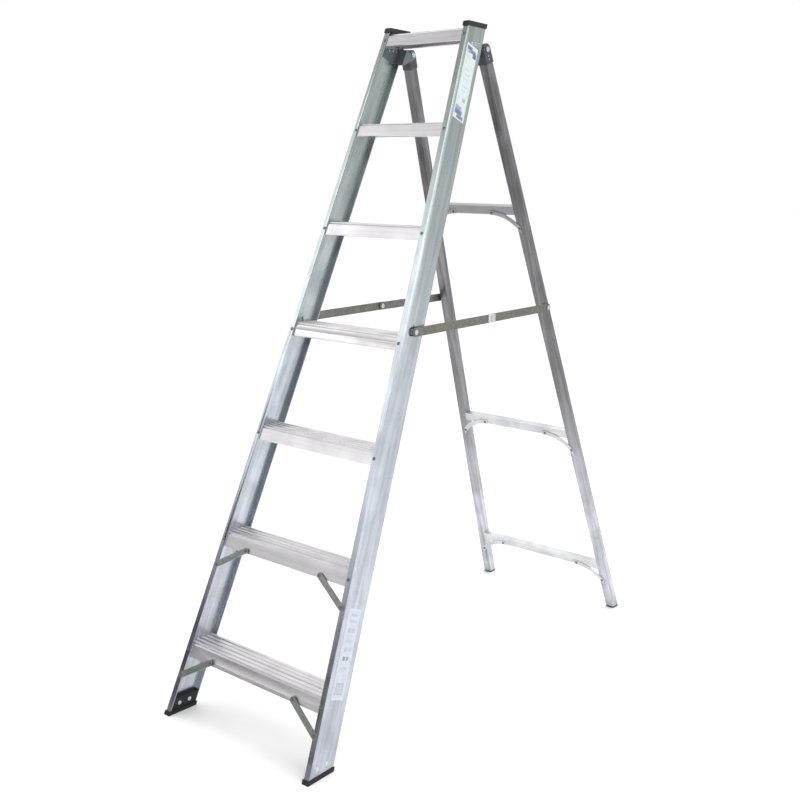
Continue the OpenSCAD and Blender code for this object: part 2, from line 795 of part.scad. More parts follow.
gusset(rung_tops[2], "left");  // gusset_bottom_left
gusset(rung_tops[2], "right");  // gusset_bottom_right
gusset_rivets();
hinge_shoe("left");  // hinge_shoe_left
hinge_shoe("right");  // hinge_shoe_right
hinge_shoe_rivets();
rear_foot("left");  // rear_foot_left
rear_foot("right");  // rear_foot_right
spreader_rear_pivots();
spreader_front_link("left");  // spreader_front_link_left
spreader_front_link("right");  // spreader_front_link_right
spreader_rear_link("left");  // spreader_rear_link_left
spreader_rear_link("right");  // spreader_rear_link_right
knuckle_rivet_front("left");  // knuckle_rivet_front_left
knuckle_rivet_front("right");  // knuckle_rivet_front_right
knuckle_rivet_rear("left");  // knuckle_rivet_rear_left
knuckle_rivet_rear("right");  // knuckle_rivet_rear_right
knuckle_stop("left");  // knuckle_stop_left
knuckle_stop("right");  // knuckle_stop_right
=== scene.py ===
"""Looks of a single-sided aluminium step ladder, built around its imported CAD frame.

The CAD nodes give every size and place. This script dresses them in extruded aluminium, zinc, plastic
and rubber, rounds their edges, sets domed rivets and the grip teeth of the treads, and lights the ladder
in a plain pale studio.
"""

import logging
import math
from dataclasses import dataclass, field
from enum import Enum
from typing import Any, Iterable, Sequence

import bpy
import numpy as np
from mathutils import Matrix, Vector


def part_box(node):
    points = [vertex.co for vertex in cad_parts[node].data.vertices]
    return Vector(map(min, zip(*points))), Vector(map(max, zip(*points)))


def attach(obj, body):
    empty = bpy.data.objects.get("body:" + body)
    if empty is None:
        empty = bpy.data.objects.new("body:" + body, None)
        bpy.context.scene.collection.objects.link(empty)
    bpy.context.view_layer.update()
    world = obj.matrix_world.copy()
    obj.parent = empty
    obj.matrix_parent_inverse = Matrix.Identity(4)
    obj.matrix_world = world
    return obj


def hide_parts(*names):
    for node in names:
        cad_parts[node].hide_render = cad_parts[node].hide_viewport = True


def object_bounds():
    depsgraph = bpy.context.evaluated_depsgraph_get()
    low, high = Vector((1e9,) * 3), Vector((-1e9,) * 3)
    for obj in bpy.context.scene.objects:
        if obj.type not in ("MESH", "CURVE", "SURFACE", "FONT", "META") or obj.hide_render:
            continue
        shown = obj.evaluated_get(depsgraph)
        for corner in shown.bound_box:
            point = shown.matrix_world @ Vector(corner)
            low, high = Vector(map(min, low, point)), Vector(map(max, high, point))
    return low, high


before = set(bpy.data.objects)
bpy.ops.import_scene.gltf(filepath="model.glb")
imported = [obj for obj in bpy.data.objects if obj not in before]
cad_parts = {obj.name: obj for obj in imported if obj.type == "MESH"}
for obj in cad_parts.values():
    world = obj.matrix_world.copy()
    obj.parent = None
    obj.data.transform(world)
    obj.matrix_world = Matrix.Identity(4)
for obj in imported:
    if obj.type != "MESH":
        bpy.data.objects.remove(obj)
CAD_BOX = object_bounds()

LOG = logging.getLogger("step_ladder")
MM = 0.001


class Side(Enum):
    """The ladder's two sides, as the climber faces it, with the sign of X on each."""

    LEFT = -1
    RIGHT = 1


class Grain(Enum):
    """The way in which a profile was extruded, which is the way its die lines run."""

    ALONG_STILE = "stile"
    ALONG_LEG = "leg"
    ALONG_TREAD = "tread"


# Colour and node helpers


def srgb(code: str) -> tuple[float, float, float, float]:
    """Turns an sRGB hex colour into linear light.

    Args:
        code: A colour such as "#c8ccd6".

    Returns:
        Linear red, green and blue, and an alpha of 1.
    """
    parts = [int(code.lstrip("#")[i : i + 2], 16) / 255 for i in (0, 2, 4)]
    linear = [c / 12.92 if c <= 0.04045 else ((c + 0.055) / 1.055) ** 2.4 for c in parts]
    return (linear[0], linear[1], linear[2], 1.0)


def add_node(
    tree: bpy.types.NodeTree,
    kind: str,
    settings: dict[str, Any] | None = None,
    values: dict[Any, Any] | None = None,
    links: dict[Any, bpy.types.NodeSocket] | None = None,
) -> bpy.types.Node:
    """Adds a node to a tree, with its settings, socket values and incoming links.

    Args:
        tree: The tree that gets the node.
        kind: The node's type, such as "ShaderNodeTexNoise".
        settings: Properties of the node, by name.
        values: Default values of its inputs, by name or index.
        links: Output sockets that feed its inputs, by name or index.

    Returns:
        The new node.
    """
    node = tree.nodes.new(kind)
    for name, value in (settings or {}).items():
        setattr(node, name, value)
    for key, value in (values or {}).items():
        node.inputs[key].default_value = value
    for key, socket in (links or {}).items():
        tree.links.new(socket, node.inputs[key])
    return node


def set_ramp(node: bpy.types.Node, stops: Sequence[tuple[float, tuple[float, ...]]]) -> None:
    """Sets a colour ramp's stops.

    Args:
        node: A ShaderNodeValToRGB node.
        stops: Places from 0 to 1 and the linear colour at each.
    """
    elements = node.color_ramp.elements
    while len(elements) > len(stops):
        elements.remove(elements[-1])
    while len(elements) < len(stops):
        elements.new(1.0)
    for element, (place, colour) in zip(elements, stops):
        element.position = place
        element.color = colour


def grey(level: float) -> tuple[float, float, float, float]:
    """Returns a linear grey of that level."""
    return (level, level, level, 1.0)


def new_material(name: str) -> tuple[bpy.types.Material, bpy.types.NodeTree, bpy.types.Node]:
    """Makes an empty material with a Principled shader on its output.

    Args:
        name: The material's name.

    Returns:
        The material, its node tree and its Principled node.
    """
    material = bpy.data.materials.new(name)
    material.use_nodes = True
    tree = material.node_tree
    tree.nodes.clear()
    shader = add_node(tree, "ShaderNodeBsdfPrincipled")
    add_node(tree, "ShaderNodeOutputMaterial", links={"Surface": shader.outputs["BSDF"]})
    return material, tree, shader


def object_point(tree: bpy.types.NodeTree) -> bpy.types.NodeSocket:
    """Returns the Object coordinates of a tree, in metres."""
    return add_node(tree, "ShaderNodeTexCoord").outputs["Object"]


# Finishes


@dataclass(frozen=True)
class ExtrudedAluminium:
    """Mill-finish 6063 aluminium, pressed through a die and left as it came.

    The die leaves fine parallel lines along the profile, so a light is drawn out across them into a soft
    band. Handling leaves faint cloudy patches of oxide, a little darker and duller than the rest.
    """

    name: str
    grain: Grain
    lean: float
    low_colour: str
    # The colour at the cap is painted shade, darker than the foot colour.
    painted_shade_top_colour: str
    patch_colour: str
    top_height: float
    roughness: float = 0.34
    anisotropy: float = 0.55
    line_pitch: float = 2.2 * MM
    band_pitch: float = 13 * MM
    banding: float = 0.12
    painted_shade_from: float = 0.15
    painted_shade_to: float = 0.9
    cloud_size: float = 70 * MM

    def direction(self) -> Vector:
        """Returns the direction in which the die lines run, in the ladder's frame."""
        if self.grain is Grain.ALONG_TREAD:
            return Vector((1.0, 0.0, 0.0))
        return Vector((0.0, math.sin(self.lean), math.cos(self.lean)))

    def build(self) -> bpy.types.Material:
        """Builds the material.

        Returns:
            The material, with die lines, oxide clouds and painted shade that darkens it with height.
        """
        material, tree, shader = new_material(self.name)
        point = object_point(tree)
        # The profile's own axes: X across it, Z along the die lines.
        turn = (0.0, 0.0, 0.0) if self.grain is Grain.ALONG_TREAD else (self.lean, 0.0, 0.0)
        along = add_node(
            tree, "ShaderNodeMapping", {"vector_type": "POINT"}, {"Rotation": turn}, {"Vector": point}
        )
        per_line = 1.0 / self.line_pitch
        stretch = (per_line, per_line, per_line / 90)
        if self.grain is Grain.ALONG_TREAD:
            stretch = (per_line / 90, per_line, per_line)
        line_place = add_node(
            tree, "ShaderNodeMapping", {}, {"Scale": stretch}, {"Vector": along.outputs["Vector"]}
        )
        lines = add_node(
            tree,
            "ShaderNodeTexNoise",
            {"noise_dimensions": "3D"},
            {"Scale": 1.0, "Detail": 3.0, "Roughness": 0.6},
            {"Vector": line_place.outputs["Vector"]},
        )
        clouds = add_node(
            tree,
            "ShaderNodeTexNoise",
            {},
            {"Scale": 1.0 / self.cloud_size, "Detail": 2.5, "Roughness": 0.45, "Distortion": 0.4},
            {"Vector": point},
        )
        band_place = add_node(
            tree,
            "ShaderNodeMapping",
            {},
            {"Scale": tuple(c * self.line_pitch / self.band_pitch for c in stretch)},
            {"Vector": along.outputs["Vector"]},
        )
        bands = add_node(
            tree,
            "ShaderNodeTexNoise",
            {},
            {"Scale": 1.0, "Detail": 1.0, "Roughness": 0.5},
            {"Vector": band_place.outputs["Vector"]},
        )

        # Painted shade: height mixes the foot colour into a darker top colour, standing in for the darker
        # surround that the upper metal reflects.
        height = add_node(tree, "ShaderNodeSeparateXYZ", links={"Vector": point})
        painted_shade_rise = add_node(
            tree,
            "ShaderNodeMapRange",
            {"interpolation_type": "SMOOTHSTEP"},
            {"From Min": self.painted_shade_from * self.top_height, "From Max": self.painted_shade_to * self.top_height},
            {"Value": height.outputs["Z"]},
        )
        height_shade = add_node(
            tree,
            "ShaderNodeMix",
            {"data_type": "RGBA"},
            {6: srgb(self.low_colour), 7: srgb(self.painted_shade_top_colour)},
            {0: painted_shade_rise.outputs["Result"]},
        )
        cloud_mask = add_node(tree, "ShaderNodeValToRGB", links={"Fac": clouds.outputs["Fac"]})
        set_ramp(cloud_mask, [(0.38, grey(0.0)), (0.68, grey(0.55))])
        clouded = add_node(
            tree,
            "ShaderNodeMix",
            {"data_type": "RGBA"},
            {7: srgb(self.patch_colour)},
            {0: cloud_mask.outputs["Color"], 6: height_shade.outputs[2]},
        )
        line_shade = add_node(
            tree,
            "ShaderNodeMapRange",
            {},
            {"From Min": 0.3, "From Max": 0.7, "To Min": 0.95, "To Max": 1.03},
            {"Value": lines.outputs["Fac"]},
        )
        band_shade = add_node(
            tree,
            "ShaderNodeMapRange",
            {},
            {
                "From Min": 0.3,
                "From Max": 0.7,
                "To Min": 1.0 - self.banding,
                "To Max": 1.0 + self.banding / 3,
            },
            {"Value": bands.outputs["Fac"]},
        )
        both_shades = add_node(
            tree,
            "ShaderNodeMath",
            {"operation": "MULTIPLY"},
            {},
            {0: line_shade.outputs["Result"], 1: band_shade.outputs["Result"]},
        )
        shaded = add_node(
            tree,
            "ShaderNodeVectorMath",
            {"operation": "SCALE"},
            {},
            {0: clouded.outputs[2], "Scale": both_shades.outputs["Value"]},
        )
        tree.links.new(shaded.outputs["Vector"], shader.inputs["Base Color"])

        rough = add_node(
            tree,
            "ShaderNodeMapRange",
            {},
            {
                "From Min": 0.35,
                "From Max": 0.7,
                "To Min": self.roughness - 0.02,
                "To Max": self.roughness + 0.07,
            },
            {"Value": clouds.outputs["Fac"]},
        )
        tree.links.new(rough.outputs["Result"], shader.inputs["Roughness"])

        bump = add_node(
            tree,
            "ShaderNodeBump",
            {},
            {"Strength": 0.1, "Distance": 0.1 * MM},
            {"Height": lines.outputs["Fac"]},
        )
        tree.links.new(bump.outputs["Normal"], shader.inputs["Normal"])
        way = add_node(
            tree,
            "ShaderNodeVectorTransform",
            {"vector_type": "VECTOR", "convert_from": "OBJECT", "convert_to": "WORLD"},
            {"Vector": tuple(self.direction())},
        )
        tree.links.new(way.outputs["Vector"], shader.inputs["Tangent"])
        shader.inputs["Metallic"].default_value = 1.0
        shader.inputs["Anisotropic"].default_value = self.anisotropy
        shader.inputs["Anisotropic Rotation"].default_value = 0.25
        return material


@dataclass(frozen=True)
class GalvanisedSteel:
    """Hot-dip galvanised mild steel strip, weathered dull.

    Zinc freezes into flat grains, so the strip shows a faint patchwork of warm grey spangles with a low,
    uneven shine, and a dusting of pale salts.
    """

    name: str
    colour: str
    spangle_colour: str
    roughness: float = 0.5
    spangle_size: float = 7 * MM

    def build(self) -> bpy.types.Material:
        """Builds the material.

        Returns:
            The material, with spangles in colour and roughness and a fine pitted bump.
        """
        material, tree, shader = new_material(self.name)
        point = object_point(tree)
        spangle = add_node(
            tree,
            "ShaderNodeTexVoronoi",
            {"feature": "F1"},
            {"Scale": 1.0 / self.spangle_size, "Randomness": 1.0},
            {"Vector": point},
        )
        grains = add_node(tree, "ShaderNodeSeparateColor", links={"Color": spangle.outputs["Color"]})
        mixed = add_node(
            tree,
            "ShaderNodeMix",
            {"data_type": "RGBA"},
            {6: srgb(self.colour), 7: srgb(self.spangle_colour)},
            {0: grains.outputs["Red"]},
        )
        salts = add_node(
            tree,
            "ShaderNodeTexNoise",
            {},
            {"Scale": 1.0 / (24 * MM), "Detail": 6.0, "Roughness": 0.7},
            {"Vector": point},
        )
        salt_shade = add_node(
            tree,
            "ShaderNodeMapRange",
            {},
            {"From Min": 0.35, "From Max": 0.7, "To Min": 0.88, "To Max": 1.12},
            {"Value": salts.outputs["Fac"]},
        )
        shaded = add_node(
            tree,
            "ShaderNodeVectorMath",
            {"operation": "SCALE"},
            {},
            {0: mixed.outputs[2], "Scale": salt_shade.outputs["Result"]},
        )
        tree.links.new(shaded.outputs["Vector"], shader.inputs["Base Color"])
        rough = add_node(
            tree,
            "ShaderNodeMapRange",
            {},
            {"To Min": self.roughness - 0.08, "To Max": self.roughness + 0.12},
            {"Value": grains.outputs["Green"]},
        )
        tree.links.new(rough.outputs["Result"], shader.inputs["Roughness"])
        pits = add_node(
            tree, "ShaderNodeTexNoise", {}, {"Scale": 1.0 / (1.5 * MM), "Detail": 2.0}, {"Vector": point}
        )
        bump = add_node(
            tree,
            "ShaderNodeBump",
            {},
            {"Strength": 0.2, "Distance": 0.1 * MM},
            {"Height": pits.outputs["Fac"]},
        )
        tree.links.new(bump.outputs["Normal"], shader.inputs["Normal"])
        shader.inputs["Metallic"].default_value = 1.0
        return material


@dataclass(frozen=True)
class MouldedPolymer:
    """Injection-moulded polypropylene or rubber, black or dark grey.

    The tool's spark-eroded texture leaves a fine pebble that scatters light, and handling leaves a thin
    grey film of dust with paler scuffs.
    """

    name: str
    colour: str
    dust_colour: str
    roughness: float
    pebble: float = 0.9 * MM
    dust: float = 0.25
    ior: float = 1.49

    def build(self) -> bpy.types.Material:
        """Builds the material.

        Returns:
            The material, with a pebbled bump and a cloudy film of dust.
        """
        material, tree, shader = new_material(self.name)
        point = object_point(tree)
        film = add_node(
            tree,
            "ShaderNodeTexNoise",
            {},
            {"Scale": 1.0 / (16 * MM), "Detail": 6.0, "Roughness": 0.7},
            {"Vector": point},
        )
        film_mask = add_node(tree, "ShaderNodeValToRGB", links={"Fac": film.outputs["Fac"]})
        set_ramp(film_mask, [(0.42, grey(0.0)), (0.75, grey(self.dust))])
        mixed = add_node(
            tree,
            "ShaderNodeMix",
            {"data_type": "RGBA"},
            {6: srgb(self.colour), 7: srgb(self.dust_colour)},
            {0: film_mask.outputs["Color"]},
        )
        tree.links.new(mixed.outputs[2], shader.inputs["Base Color"])
        rough = add_node(
            tree,
            "ShaderNodeMapRange",
            {},
            {"To Min": self.roughness - 0.06, "To Max": self.roughness + 0.14},
            {"Value": film.outputs["Fac"]},
        )
        tree.links.new(rough.outputs["Result"], shader.inputs["Roughness"])
        pebble = add_node(
            tree,
            "ShaderNodeTexVoronoi",
            {"feature": "SMOOTH_F1"},
            {"Scale": 1.0 / self.pebble, "Smoothness": 0.6},
            {"Vector": point},
        )
        bump = add_node(
            tree,
            "ShaderNodeBump",
            {},
            {"Strength": 0.25, "Distance": 0.15 * MM},
            {"Height": pebble.outputs["Distance"]},
        )
        tree.links.new(bump.outputs["Normal"], shader.inputs["Normal"])
        shader.inputs["IOR"].default_value = self.ior
        return material


@dataclass(frozen=True)
class CoatedSteel:
    """Pressed steel plate under a dark grey electro-coat, rubbed thin where it is handled.

    The coat is satin and slightly orange-peeled, with bare metal glinting through in small worn spots.
    """

    name: str
    colour: str
    worn_colour: str
    roughness: float = 0.42

    def build(self) -> bpy.types.Material:
        """Builds the material.

        Returns:
            The material, with a satin coat and worn spots.
        """
        material, tree, shader = new_material(self.name)
        point = object_point(tree)
        wear = add_node(
            tree,
            "ShaderNodeTexNoise",
            {},
            {"Scale": 1.0 / (11 * MM), "Detail": 7.0, "Roughness": 0.72},
            {"Vector": point},
        )
        worn = add_node(tree, "ShaderNodeValToRGB", links={"Fac": wear.outputs["Fac"]})
        set_ramp(worn, [(0.6, grey(0.0)), (0.68, grey(0.8))])
        mixed = add_node(
            tree,
            "ShaderNodeMix",
            {"data_type": "RGBA"},
            {6: srgb(self.colour), 7: srgb(self.worn_colour)},
            {0: worn.outputs["Color"]},
        )
        tree.links.new(mixed.outputs[2], shader.inputs["Base Color"])
        metal = add_node(
            tree,
            "ShaderNodeMath",
            {"operation": "MULTIPLY_ADD"},
            {1: 0.6, 2: 0.35},
            {0: worn.outputs["Color"]},
        )
        tree.links.new(metal.outputs["Value"], shader.inputs["Metallic"])
        rough = add_node(
            tree,
            "ShaderNodeMapRange",
            {},
            {"To Min": self.roughness - 0.08, "To Max": self.roughness + 0.14},
            {"Value": wear.outputs["Fac"]},
        )
        tree.links.new(rough.outputs["Result"], shader.inputs["Roughness"])
        peel = add_node(
            tree, "ShaderNodeTexNoise", {}, {"Scale": 1.0 / (2.5 * MM), "Detail": 2.0}, {"Vector": point}
        )
        bump = add_node(
            tree,
            "ShaderNodeBump",
            {},
            {"Strength": 0.15, "Distance": 0.1 * MM},
            {"Height": peel.outputs["Fac"]},
        )
        tree.links.new(bump.outputs["Normal"], shader.inputs["Normal"])
        return material


@dataclass(frozen=True)
class Block:
    """A plain printed block on a label: its middle and size as shares of the label, and its colour."""

    across: float
    up: float
    width: float
    height: float
    colour: str


@dataclass(frozen=True)
class PrintedFilm:
    """Clear-coated vinyl sticker with plain printed blocks and bars, and no lettering.

    The film is glossier than the metal round it, faintly yellowed and milky, with soft creases.
    """

    name: str
    paper_colour: str
    blocks: tuple[Block, ...]
    origin: Vector
    across_axis: Vector
    up_axis: Vector
    width: float
    height: float
    roughness: float = 0.28

    def build(self) -> bpy.types.Material:
        """Builds the material.

        Returns:
            The material, with each block placed on the label's own two axes.
        """
        material, tree, shader = new_material(self.name)
        point = object_point(tree)
        place = add_node(
            tree, "ShaderNodeVectorMath", {"operation": "SUBTRACT"}, {1: tuple(self.origin)}, {0: point}
        )
        shares = []
        for axis, length in ((self.across_axis, self.width), (self.up_axis, self.height)):
            share = add_node(
                tree,
                "ShaderNodeVectorMath",
                {"operation": "DOT_PRODUCT"},
                {1: tuple(axis / length)},
                {0: place.outputs["Vector"]},
            )
            shares.append(share.outputs["Value"])
        stain = add_node(
            tree,
            "ShaderNodeTexNoise",
            {},
            {"Scale": 1.0 / (12 * MM), "Detail": 5.0, "Roughness": 0.65},
            {"Vector": point},
        )
        stain_shade = add_node(
            tree,
            "ShaderNodeMapRange",
            {},
            {"From Min": 0.3, "From Max": 0.7, "To Min": 0.86, "To Max": 1.03},
            {"Value": stain.outputs["Fac"]},
        )
        colour = None
        paper = srgb(self.paper_colour)
        for block in self.blocks:
            inside = []
            for share, middle, extent in (
                (shares[0], block.across, block.width), (shares[1], block.up, block.height)
            ):
                inside.append(
                    add_node(
                        tree,
                        "ShaderNodeMath",
                        {"operation": "COMPARE"},
                        {1: middle, 2: extent / 2},
                        {0: share},
                    )
                )
            mask = add_node(
                tree,
                "ShaderNodeMath",
                {"operation": "MULTIPLY"},
                {},
                {0: inside[0].outputs["Value"], 1: inside[1].outputs["Value"]},
            )
            layer = add_node(
                tree,
                "ShaderNodeMix",
                {"data_type": "RGBA"},
                {6: paper, 7: srgb(block.colour)},
                {0: mask.outputs["Value"]},
            )
            if colour is not None:
                tree.links.new(colour, layer.inputs[6])
            colour = layer.outputs[2]
        shaded = add_node(
            tree,
            "ShaderNodeVectorMath",
            {"operation": "SCALE"},
            {},
            {0: colour, "Scale": stain_shade.outputs["Result"]},
        )
        tree.links.new(shaded.outputs["Vector"], shader.inputs["Base Color"])
        rough = add_node(
            tree,
            "ShaderNodeMapRange",
            {},
            {"To Min": self.roughness - 0.06, "To Max": self.roughness + 0.14},
            {"Value": stain.outputs["Fac"]},
        )
        tree.links.new(rough.outputs["Result"], shader.inputs["Roughness"])
        creases = add_node(
            tree,
            "ShaderNodeBump",
            {},
            {"Strength": 0.12, "Distance": 0.2 * MM},
            {"Height": stain.outputs["Fac"]},
        )
        tree.links.new(creases.outputs["Normal"], shader.inputs["Normal"])
        shader.inputs["Coat Weight"].default_value = 0.3
        shader.inputs["Coat Roughness"].default_value = 0.15
        return material


# Geometry helpers


def both_sides(stem: str) -> list[str]:
    """Returns a node's left and right names."""
    return [f"{stem}_{side.name.lower()}" for side in Side]


def dress(nodes: Iterable[str], material: bpy.types.Material) -> None:
    """Gives CAD nodes a material.

    Args:
        nodes: The nodes' names.
        material: The material that fills their slots.
    """
    for name in nodes:
        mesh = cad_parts[name].data
        mesh.materials.clear()
        mesh.materials.append(material)


def soften_edges(nodes: Iterable[str], width: float) -> None:
    """Rounds the sharp edges of CAD nodes with modifiers, so that they catch the light.

    Args:
        nodes: The nodes' names.
        width: The rounding's width, in metres.
    """
    for name in nodes:
        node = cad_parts[name]
        weld = node.modifiers.new("weld", "WELD")
        weld.merge_threshold = 0.002 * MM
        flat = node.modifiers.new("flat", "DECIMATE")
        flat.decimate_type = "DISSOLVE"
        flat.angle_limit = math.radians(1)
        bevel = node.modifiers.new("bevel", "BEVEL")
        bevel.width = width
        bevel.segments = 2
        bevel.limit_method = "ANGLE"
        bevel.angle_limit = math.radians(40)
        bevel.harden_normals = False


def islands(node: bpy.types.Object) -> list[np.ndarray]:
    """Splits a CAD node's vertices into its separate solids.

    Args:
        node: The CAD node's object.

    Returns:
        One array of points for each solid, in metres.
    """
    mesh = node.data
    points = np.empty(len(mesh.vertices) * 3)
    mesh.vertices.foreach_get("co", points)
    points = points.reshape(-1, 3)
    keys: dict[tuple[int, ...], int] = {}
    merged = [keys.setdefault(tuple(np.round(p / (0.01 * MM)).astype(int)), len(keys)) for p in points]
    parent = list(range(len(keys)))

    def root(i: int) -> int:
        """Finds the first point of the solid that point i belongs to."""
        while parent[i] != i:
            parent[i] = parent[parent[i]]
            i = parent[i]
        return i

    for polygon in mesh.polygons:
        corners = [root(merged[v]) for v in polygon.vertices]
        for corner in corners[1:]:
            parent[root(corner)] = root(corners[0])
    groups: dict[int, list[np.ndarray]] = {}
    for point, key in zip(points, merged):
        groups.setdefault(root(key), []).append(point)
    return [np.array(group) for group in groups.values()]


def tree_with_inputs(name: str, inputs: Sequence[tuple[str, str, Any]]) -> bpy.types.NodeTree:
    """Makes a geometry tree with a Geometry output and named inputs.

    Args:
        name: The tree's name.
        inputs: Each input's name, socket type and default value.

    Returns:
        The tree.
    """
    tree = bpy.data.node_groups.new(name, "GeometryNodeTree")
    tree.interface.new_socket("Geometry", in_out="INPUT", socket_type="NodeSocketGeometry")
    for label, kind, value in inputs:
        socket = tree.interface.new_socket(label, in_out="INPUT", socket_type=kind)
        if value is not None:
            socket.default_value = value
    tree.interface.new_socket("Geometry", in_out="OUTPUT", socket_type="NodeSocketGeometry")
    return tree


def run_tree(
    host: bpy.types.Object, tree: bpy.types.NodeTree, values: dict[str, Any], name: str
) -> bpy.types.Object:
    """Runs a geometry tree on a host and returns the result as a plain mesh object.

    Args:
        host: The object that the tree starts from; it is removed afterwards.
        tree: The geometry tree.
        values: The tree's inputs, by name.
        name: The new object's name.

    Returns:
        The new object, at the origin, with no modifier.
    """
    modifier = host.modifiers.new("tree", "NODES")
    modifier.node_group = tree
    for item in tree.interface.items_tree:
        if item.item_type == "SOCKET" and item.in_out == "INPUT" and item.name in values:
            modifier[item.identifier] = values[item.name]
    graph = bpy.context.evaluated_depsgraph_get()
    graph.update()
    mesh = bpy.data.meshes.new_from_object(host.evaluated_get(graph), depsgraph=graph)
    mesh.name = name
    piece = bpy.data.objects.new(name, mesh)
    bpy.context.scene.collection.objects.link(piece)
    host.modifiers.clear()
    bpy.data.objects.remove(host)
    return piece


def point_host(name: str, points: Sequence[Vector], facing: Sequence[Vector]) -> bpy.types.Object:
    """Makes a host object of loose points, each with the way it faces.

    Args:
        name: The host's name.
        points: The places, in metres.
        facing: The outward direction at each place.

    Returns:
        The host object.
    """
    mesh = bpy.data.meshes.new(name)
    mesh.from_pydata([tuple(p) for p in points], [], [])
    attribute = mesh.attributes.new("facing", "FLOAT_VECTOR", "POINT")
    attribute.data.foreach_set("vector", [c for f in facing for c in f])
    host = bpy.data.objects.new(name, mesh)
    bpy.context.scene.collection.objects.link(host)
    return host


@dataclass(frozen=True)
class RivetShape:
    """A blind rivet's head: a low dome with the hole that its mandrel leaves."""

    radius: float = 4.6 * MM
    height: float = 1.7 * MM
    hole_radius: float = 1.3 * MM
    hole_depth: float = 0.9 * MM
    sides: int = 20

    def profile(self) -> list[tuple[float, float]]:
        """Returns the dome's outline as (radius, height) from rim to hole, with a short skirt."""
        rim = 0.25 * self.height
        dome = []
        for i in range(6):
            angle = math.radians(90 * i / 6)
            dome.append((self.radius * math.cos(angle), rim + (self.height - rim) * math.sin(angle)))
        hole_top = self.height * 0.985
        outline = [(self.radius, 0.0)] + dome
        outline = [p for p in outline if p[0] > self.hole_radius * 1.2]
        outline += [(self.hole_radius, hole_top), (self.hole_radius * 0.9, hole_top - self.hole_depth)]
        return outline

    def mesh(self, name: str) -> bpy.types.Mesh:
        """Turns the outline round the rivet's axis.

        Args:
            name: The mesh's name.

        Returns:
            A closed mesh with its seat at the origin, facing +Z.
        """
        outline = self.profile()
        vertices = []
        for radius, height in outline:
            for k in range(self.sides):
                angle = 2 * math.pi * k / self.sides
                vertices.append((radius * math.cos(angle), radius * math.sin(angle), height))
        faces = []
        for ring in range(len(outline) - 1):
            low = ring * self.sides
            high = low + self.sides
            for k in range(self.sides):
                nxt = (k + 1) % self.sides
                faces.append((low + k, low + nxt, high + nxt, high + k))
        faces.append(tuple(reversed(range(self.sides))))
        last = (len(outline) - 1) * self.sides
        faces.append(tuple(range(last, last + self.sides)))
        mesh = bpy.data.meshes.new(name)
        mesh.from_pydata(vertices, [], faces)
        for polygon in mesh.polygons:
            polygon.use_smooth = len(polygon.vertices) == 4
        return mesh


def rivet_tree(material: bpy.types.Material) -> bpy.types.NodeTree:
    """Builds the tree that sets a rivet head on every point, turned to face outwards.

    Args:
        material: The rivets' material.

    Returns:
        The geometry tree. Its input "Head" is the object that holds one rivet head.
    """
    tree = tree_with_inputs(
        "rivet_heads",
        [("Head", "NodeSocketObject", None), ("Scale", "NodeSocketFloat", 1.0), ("Seed", "NodeSocketInt", 7)],
    )
    start = add_node(tree, "NodeGroupInput")
    head = add_node(tree, "GeometryNodeObjectInfo", {}, {}, {"Object": start.outputs["Head"]})
    facing = add_node(
        tree, "GeometryNodeInputNamedAttribute", {"data_type": "FLOAT_VECTOR"}, {"Name": "facing"}
    )
    turn = add_node(
        tree,
        "FunctionNodeAlignRotationToVector",
        {"axis": "Z"},
        {},
        {"Vector": facing.outputs["Attribute"]},
    )
    spin = add_node(
        tree,
        "FunctionNodeRandomValue",
        {"data_type": "FLOAT"},
        {2: 0.0, 3: 2 * math.pi},
        {"Seed": start.outputs["Seed"]},
    )
    about_axis = add_node(
        tree, "FunctionNodeAxisAngleToRotation", {}, {"Axis": (0, 0, 1)}, {"Angle": spin.outputs[1]}
    )
    turned = add_node(
        tree,
        "FunctionNodeRotateRotation",
        {"rotation_space": "LOCAL"},
        {},
        {"Rotation": turn.outputs["Rotation"], "Rotate By": about_axis.outputs["Rotation"]},
    )
    placed = add_node(
        tree,
        "GeometryNodeInstanceOnPoints",
        {},
        {},
        {
            "Points": start.outputs["Geometry"],
            "Instance": head.outputs["Geometry"],
            "Rotation": turned.outputs["Rotation"],
            "Scale": start.outputs["Scale"],
        },
    )
    real = add_node(tree, "GeometryNodeRealizeInstances", links={"Geometry": placed.outputs["Instances"]})
    painted = add_node(
        tree, "GeometryNodeSetMaterial", {}, {"Material": material}, {"Geometry": real.outputs["Geometry"]}
    )
    add_node(tree, "NodeGroupOutput", links={"Geometry": painted.outputs["Geometry"]})
    return tree


